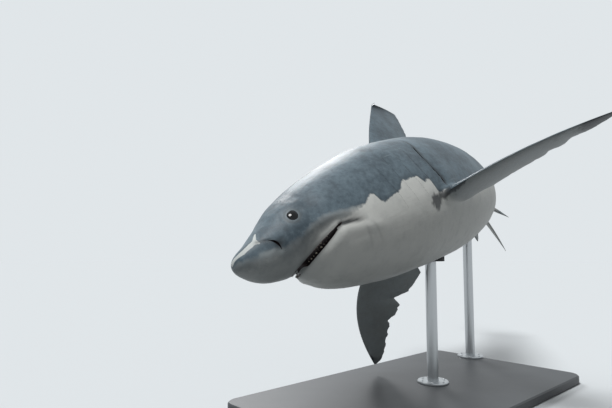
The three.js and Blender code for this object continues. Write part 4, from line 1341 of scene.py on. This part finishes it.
def teeth_tree(tooth, material):
    """Teeth along rows of edges, smaller at a row's ends and uneven in size."""
    tree, given = new_group("teeth along a jaw", Geometry="Geometry", Count="Int",
                            Height="Float", Width="Float", Seed="Int")
    edges = add(tree, "GeometryNodeMeshToCurve", {0: given["Geometry"]})
    row = add(tree, "GeometryNodeResampleCurve", {"Curve": edges, "Count": given["Count"]})
    along = add(tree, "GeometryNodeSplineParameter").outputs["Factor"]
    size = add(tree, "ShaderNodeFloatCurve", {"Value": along}, curve=TOOTH_SIZES)
    chance = add(tree, "FunctionNodeRandomValue", {
        "Min": 0.15, "Max": 1.05, "Seed": given["Seed"]})
    size = add(tree, "ShaderNodeMath", {0: size, 1: chance}, operation="MULTIPLY")
    wide, tall = (add(tree, "ShaderNodeMath", {0: size, 1: given[name]}, operation="MULTIPLY")
                  for name in ("Width", "Height"))
    scale = add(tree, "ShaderNodeCombineXYZ", {"X": wide, "Y": wide, "Z": tall})
    # Upright on the gum, with the flat side along the jaw.
    tangent = add(tree, "GeometryNodeInputTangent")
    upright = add(tree, "GeometryNodeInputNamedAttribute", {"Name": "tooth_up"},
                  data_type="FLOAT_VECTOR")
    stood = add(tree, "FunctionNodeAlignRotationToVector", {"Vector": upright}, axis="Z")
    turned = add(tree, "FunctionNodeAlignRotationToVector", {"Rotation": stood, "Vector": tangent},
                 axis="X", pivot_axis="Z")
    end_in_copies(tree, row, tooth, material, Rotation=turned, Scale=scale)
    return tree


def gum_line(name, way):
    """Edges along a jaw's gum, with the way its teeth point (-1 down, 1 up) on every point."""
    _, at, side, inward = mouth_path(24)
    keep = (at < TEETH_END) & (at > TEETH_FRONT)
    at, side, inward = at[keep], side[keep], inward[keep]
    if way > 0:
        # The lower jaw's rim lies where its flat top meets the skin.
        at, rim_side = lower_rim(at)
        side = np.sign(side) * rim_side
    at, side = at + inward[:, 0] * GUM_INSET, side + inward[:, 1] * GUM_INSET
    high_gum, low_gum = np.outer(GUM_RISE, gum_share(lip_gap(at)))
    up = lip_top(at) - (high_gum if way < 0 else lip_gap(at) - low_gum)
    points = place_points(at, side, up)
    # The teeth lean outward a little.
    out, rise = 0.0012, 0.004
    tips = place_points(at - inward[:, 0] * out, side - inward[:, 1] * out, up + way * rise)
    edges = [(i, i + 1) for i in range(len(points) - 1) if side[i] * side[i + 1] > 0]
    piece = mesh_object(name, points, edges)
    layer = piece.data.attributes.new("tooth_up", "FLOAT_VECTOR", "POINT")
    layer.data.foreach_set("vector", unit(tips - points).astype(np.float32).ravel())
    return piece


class SHARK_OT_teeth(bpy.types.Operator):
    """Stand rows of teeth along both jaws, where the open mouth shows them"""
    bl_idname = "shark.teeth"
    bl_label = "Teeth"

    def execute(self, context):
        settings = context.scene.shark_teeth
        enamel = enamel_material()
        tooth = tooth_mesh()
        tree = teeth_tree(tooth, enamel)
        for name, way, width, share, seed in TEETH_ROWS:
            row = gum_line(name, way)
            bake_nodes(row, tree, Count=settings.count, Height=settings.height * share,
                       Width=width, Seed=seed)
            smooth(row.data)
            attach(row, "root")
        bpy.data.objects.remove(tooth)
        return {"FINISHED"}


# ------------------------------------------------------------------ stand

BEVEL = 0.0012
# Outlines over the foot, as shares of the radius and height.
FLANGE_TOP = ((1, 0.6), (0.965, 1), (0.44, 1))
BOLT_HEAD = ((1, -0.3), (1, 0.15), (0.93, 0.5), (0.72, 0.8), (0.4, 0.96))
BOLT_RADIUS, BOLT_HEIGHT = 0.009, 0.0055
BOLT_CIRCLE = 0.78                  # radius of the ring of bolts as a share of the flange's


def turned_rings(outline, count):
    """Rings of points round the Z axis, from an outline of (radius, height)."""
    return [[(r * math.cos(turn), r * math.sin(turn), z) for turn in turns(count)]
            for r, z in outline]


def turned_piece(name, low, high, top=()):
    """A round upright piece in a box, bevelled at its foot, and at its top unless one is given."""
    radius, tall = (high[0] - low[0]) / 2, high[2] - low[2]
    top = top or ((1, 1 - BEVEL / tall), (1 - BEVEL / radius, 1))
    outline = [(radius - BEVEL, 0), (radius, BEVEL)]
    outline += [(share * radius, lift * tall) for share, lift in top]
    foot = np.array([*((low + high) / 2)[:2], low[2]])
    piece = loft(name + "_finish", foot + turned_rings(outline, 72))
    smooth(piece.data, math.radians(30))
    return piece


def bolt_ring(name, low, high, count, material):
    """Dome-headed bolts in a ring on top of a flange."""
    outline = [(BOLT_RADIUS * r, BOLT_HEIGHT * z) for r, z in BOLT_HEAD]
    dome = loft("bolt", turned_rings(outline, 24))
    smooth(dome.data, math.radians(40))
    tree, given = new_group("bolts in a ring", Count="Int", Radius="Float")
    ring = add(tree, "GeometryNodeMeshCircle", {
        "Vertices": given["Count"], "Radius": given["Radius"]})
    end_in_copies(tree, ring, dome, material)
    bolts = mesh_object(name + "_bolts", [(0, 0, 0)])
    bake_nodes(bolts, tree, Count=count, Radius=BOLT_CIRCLE * float(high[0] - low[0]) / 2)
    bolts.data.transform(Matrix.Translation([*((low + high) / 2)[:2], high[2]]))
    bpy.data.objects.remove(dome)
    return bolts


class SHARK_OT_stand(bpy.types.Operator):
    """Finish the plinth, rods, flanges and pads of the display stand"""
    bl_idname = "shark.stand"
    bl_label = "Display stand"

    def execute(self, context):
        settings = context.scene.shark_stand
        paint, steel = paint_material(settings), steel_material(settings)
        rubber = rubber_material()
        for name, material in (("stand_base", paint), ("stand_pad_front", rubber),
                               ("stand_pad_rear", rubber)):
            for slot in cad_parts[name].material_slots:
                slot.material = material
        for name, top in (("stand_rod_front", ()), ("stand_flange_front", FLANGE_TOP),
                          ("stand_rod_rear", ()), ("stand_flange_rear", FLANGE_TOP)):
            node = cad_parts[name]
            corners = np.array([node.matrix_world @ Vector(corner) for corner in node.bound_box])
            low, high = corners.min(0), corners.max(0)
            piece = turned_piece(name, low, high, top)
            if top:
                bolts = bolt_ring(name, low, high, settings.bolts, steel)
                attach(bolts, "root")
            piece.data.materials.append(steel)
            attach(piece, "root")
            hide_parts(name)
        return {"FINISHED"}


# ------------------------------------------------------------------ stage

FLOOR_RADIUS, FLOOR_SIDES = 40, 48
LAMP_SPREAD = math.radians(20)      # width of a lamp as the floor sees it
KEY_FROM, RIM_FROM = (0.05, -0.50, 1.0), (-0.75, 0.45, 0.70)


def seen_directly(tree):
    """1 for rays from the camera and for rays that metal and glass send on, else 0."""
    path = add(tree, "ShaderNodeLightPath").outputs
    seen = path["Is Camera Ray"]
    for kind in ("Is Glossy Ray", "Is Transmission Ray"):
        seen = add(tree, "ShaderNodeMath", {0: seen, 1: path[kind]}, operation="MAXIMUM")
    return seen


def floor_material(colour, bounce):
    """Matt pale floor of one even colour, which throws back only part of its light."""
    material, tree = new_material("pale floor")
    thrown, shade = (add(tree, "ShaderNodeBsdfDiffuse", {"Color": brighter(linear(colour), share)})
                     for share in (bounce, 1))
    mixed = add(tree, "ShaderNodeMixShader", {0: seen_directly(tree), 1: thrown, 2: shade})
    add(tree, "ShaderNodeOutputMaterial", {"Surface": mixed})
    return material


class SHARK_OT_stage(bpy.types.Operator):
    """Set up the pale floor, soft studio light and the camera"""
    bl_idname = "shark.stage"
    bl_label = "Stage"

    def execute(self, context):
        scene = context.scene
        settings = scene.shark_stage
        points = [(FLOOR_RADIUS * math.cos(t), FLOOR_RADIUS * math.sin(t), 0)
                  for t in turns(FLOOR_SIDES)]
        floor = mesh_object("floor", points, faces=[tuple(range(FLOOR_SIDES))])
        floor.location.z = -MILLI
        floor.data.materials.append(floor_material(settings.backdrop, settings.bounce))

        world = bpy.data.worlds.new("studio")
        scene.world = world
        world.use_nodes = True
        tree = world.node_tree
        tree.nodes.clear()
        light, backdrop = (
            add(tree, "ShaderNodeBackground", {"Color": linear(colour), "Strength": strength})
            for colour, strength in (("#ffffff", settings.fill),
                                     (settings.backdrop, settings.level)))
        mixed = add(tree, "ShaderNodeMixShader", {0: seen_directly(tree), 1: light, 2: backdrop})
        add(tree, "ShaderNodeOutputWorld", {"Surface": mixed})

        # With the world's light the lamps bring the floor to the backdrop's own brightness.
        rest = math.pi * (settings.level - settings.fill)
        for name, way, share in (("key", KEY_FROM, 1 - settings.rim),
                                 ("rim", RIM_FROM, settings.rim)):
            way = Vector(way).normalized()
            lamp = bpy.data.lights.new(name, "SUN")
            lamp.energy = rest * share / way.z
            lamp.angle = LAMP_SPREAD
            link(name, lamp).rotation_euler = way.to_track_quat("Z", "Y").to_euler()

        camera = bpy.data.cameras.new("camera")
        camera.sensor_width = 36
        camera.lens = settings.lens
        holder = link("camera", camera)
        holder.location = BODY_ORIGIN + Vector(settings.stand_off)
        holder.rotation_euler = (math.pi / 2 + settings.pitch, 0, settings.heading)
        scene.camera = holder
        scene.view_settings.view_transform = "Standard"
        return {"FINISHED"}


# ------------------------------------------------------------------ panel, registration, run


class SHARK_PT_panel(bpy.types.Panel):
    bl_idname = "SHARK_PT_panel"
    bl_label = "Shark model"
    bl_space_type = "VIEW_3D"
    bl_region_type = "UI"
    bl_category = "Shark"

    def draw(self, context):
        scene = context.scene
        for operator, settings in (("shark.skin", scene.shark_skin), ("shark.eyes", None),
                                   ("shark.teeth", scene.shark_teeth),
                                   ("shark.stand", scene.shark_stand),
                                   ("shark.stage", scene.shark_stage)):
            box = self.layout.box()
            box.operator(operator)
            if settings:
                for name in settings.__annotations__:
                    box.prop(settings, name)


SETTINGS = (("shark_skin", SharkSkinSettings), ("shark_teeth", SharkTeethSettings),
            ("shark_stand", SharkStandSettings), ("shark_stage", SharkStageSettings))
CLASSES = (SHARK_OT_skin, SHARK_OT_eyes, SHARK_OT_teeth, SHARK_OT_stand, SHARK_OT_stage,
           SHARK_PT_panel)


def register():
    for name, group in SETTINGS:
        bpy.utils.register_class(group)
        setattr(bpy.types.Scene, name, bpy.props.PointerProperty(type=group))
    for cls in CLASSES:
        bpy.utils.register_class(cls)


def unregister():
    for cls in reversed(CLASSES):
        bpy.utils.unregister_class(cls)
    for name, group in reversed(SETTINGS):
        delattr(bpy.types.Scene, name)
        bpy.utils.unregister_class(group)


def main():
    register()
    bpy.ops.shark.skin()
    bpy.ops.shark.eyes()
    bpy.ops.shark.teeth()
    bpy.ops.shark.stand()
    bpy.ops.shark.stage()


if __name__ == "__main__":
    main()
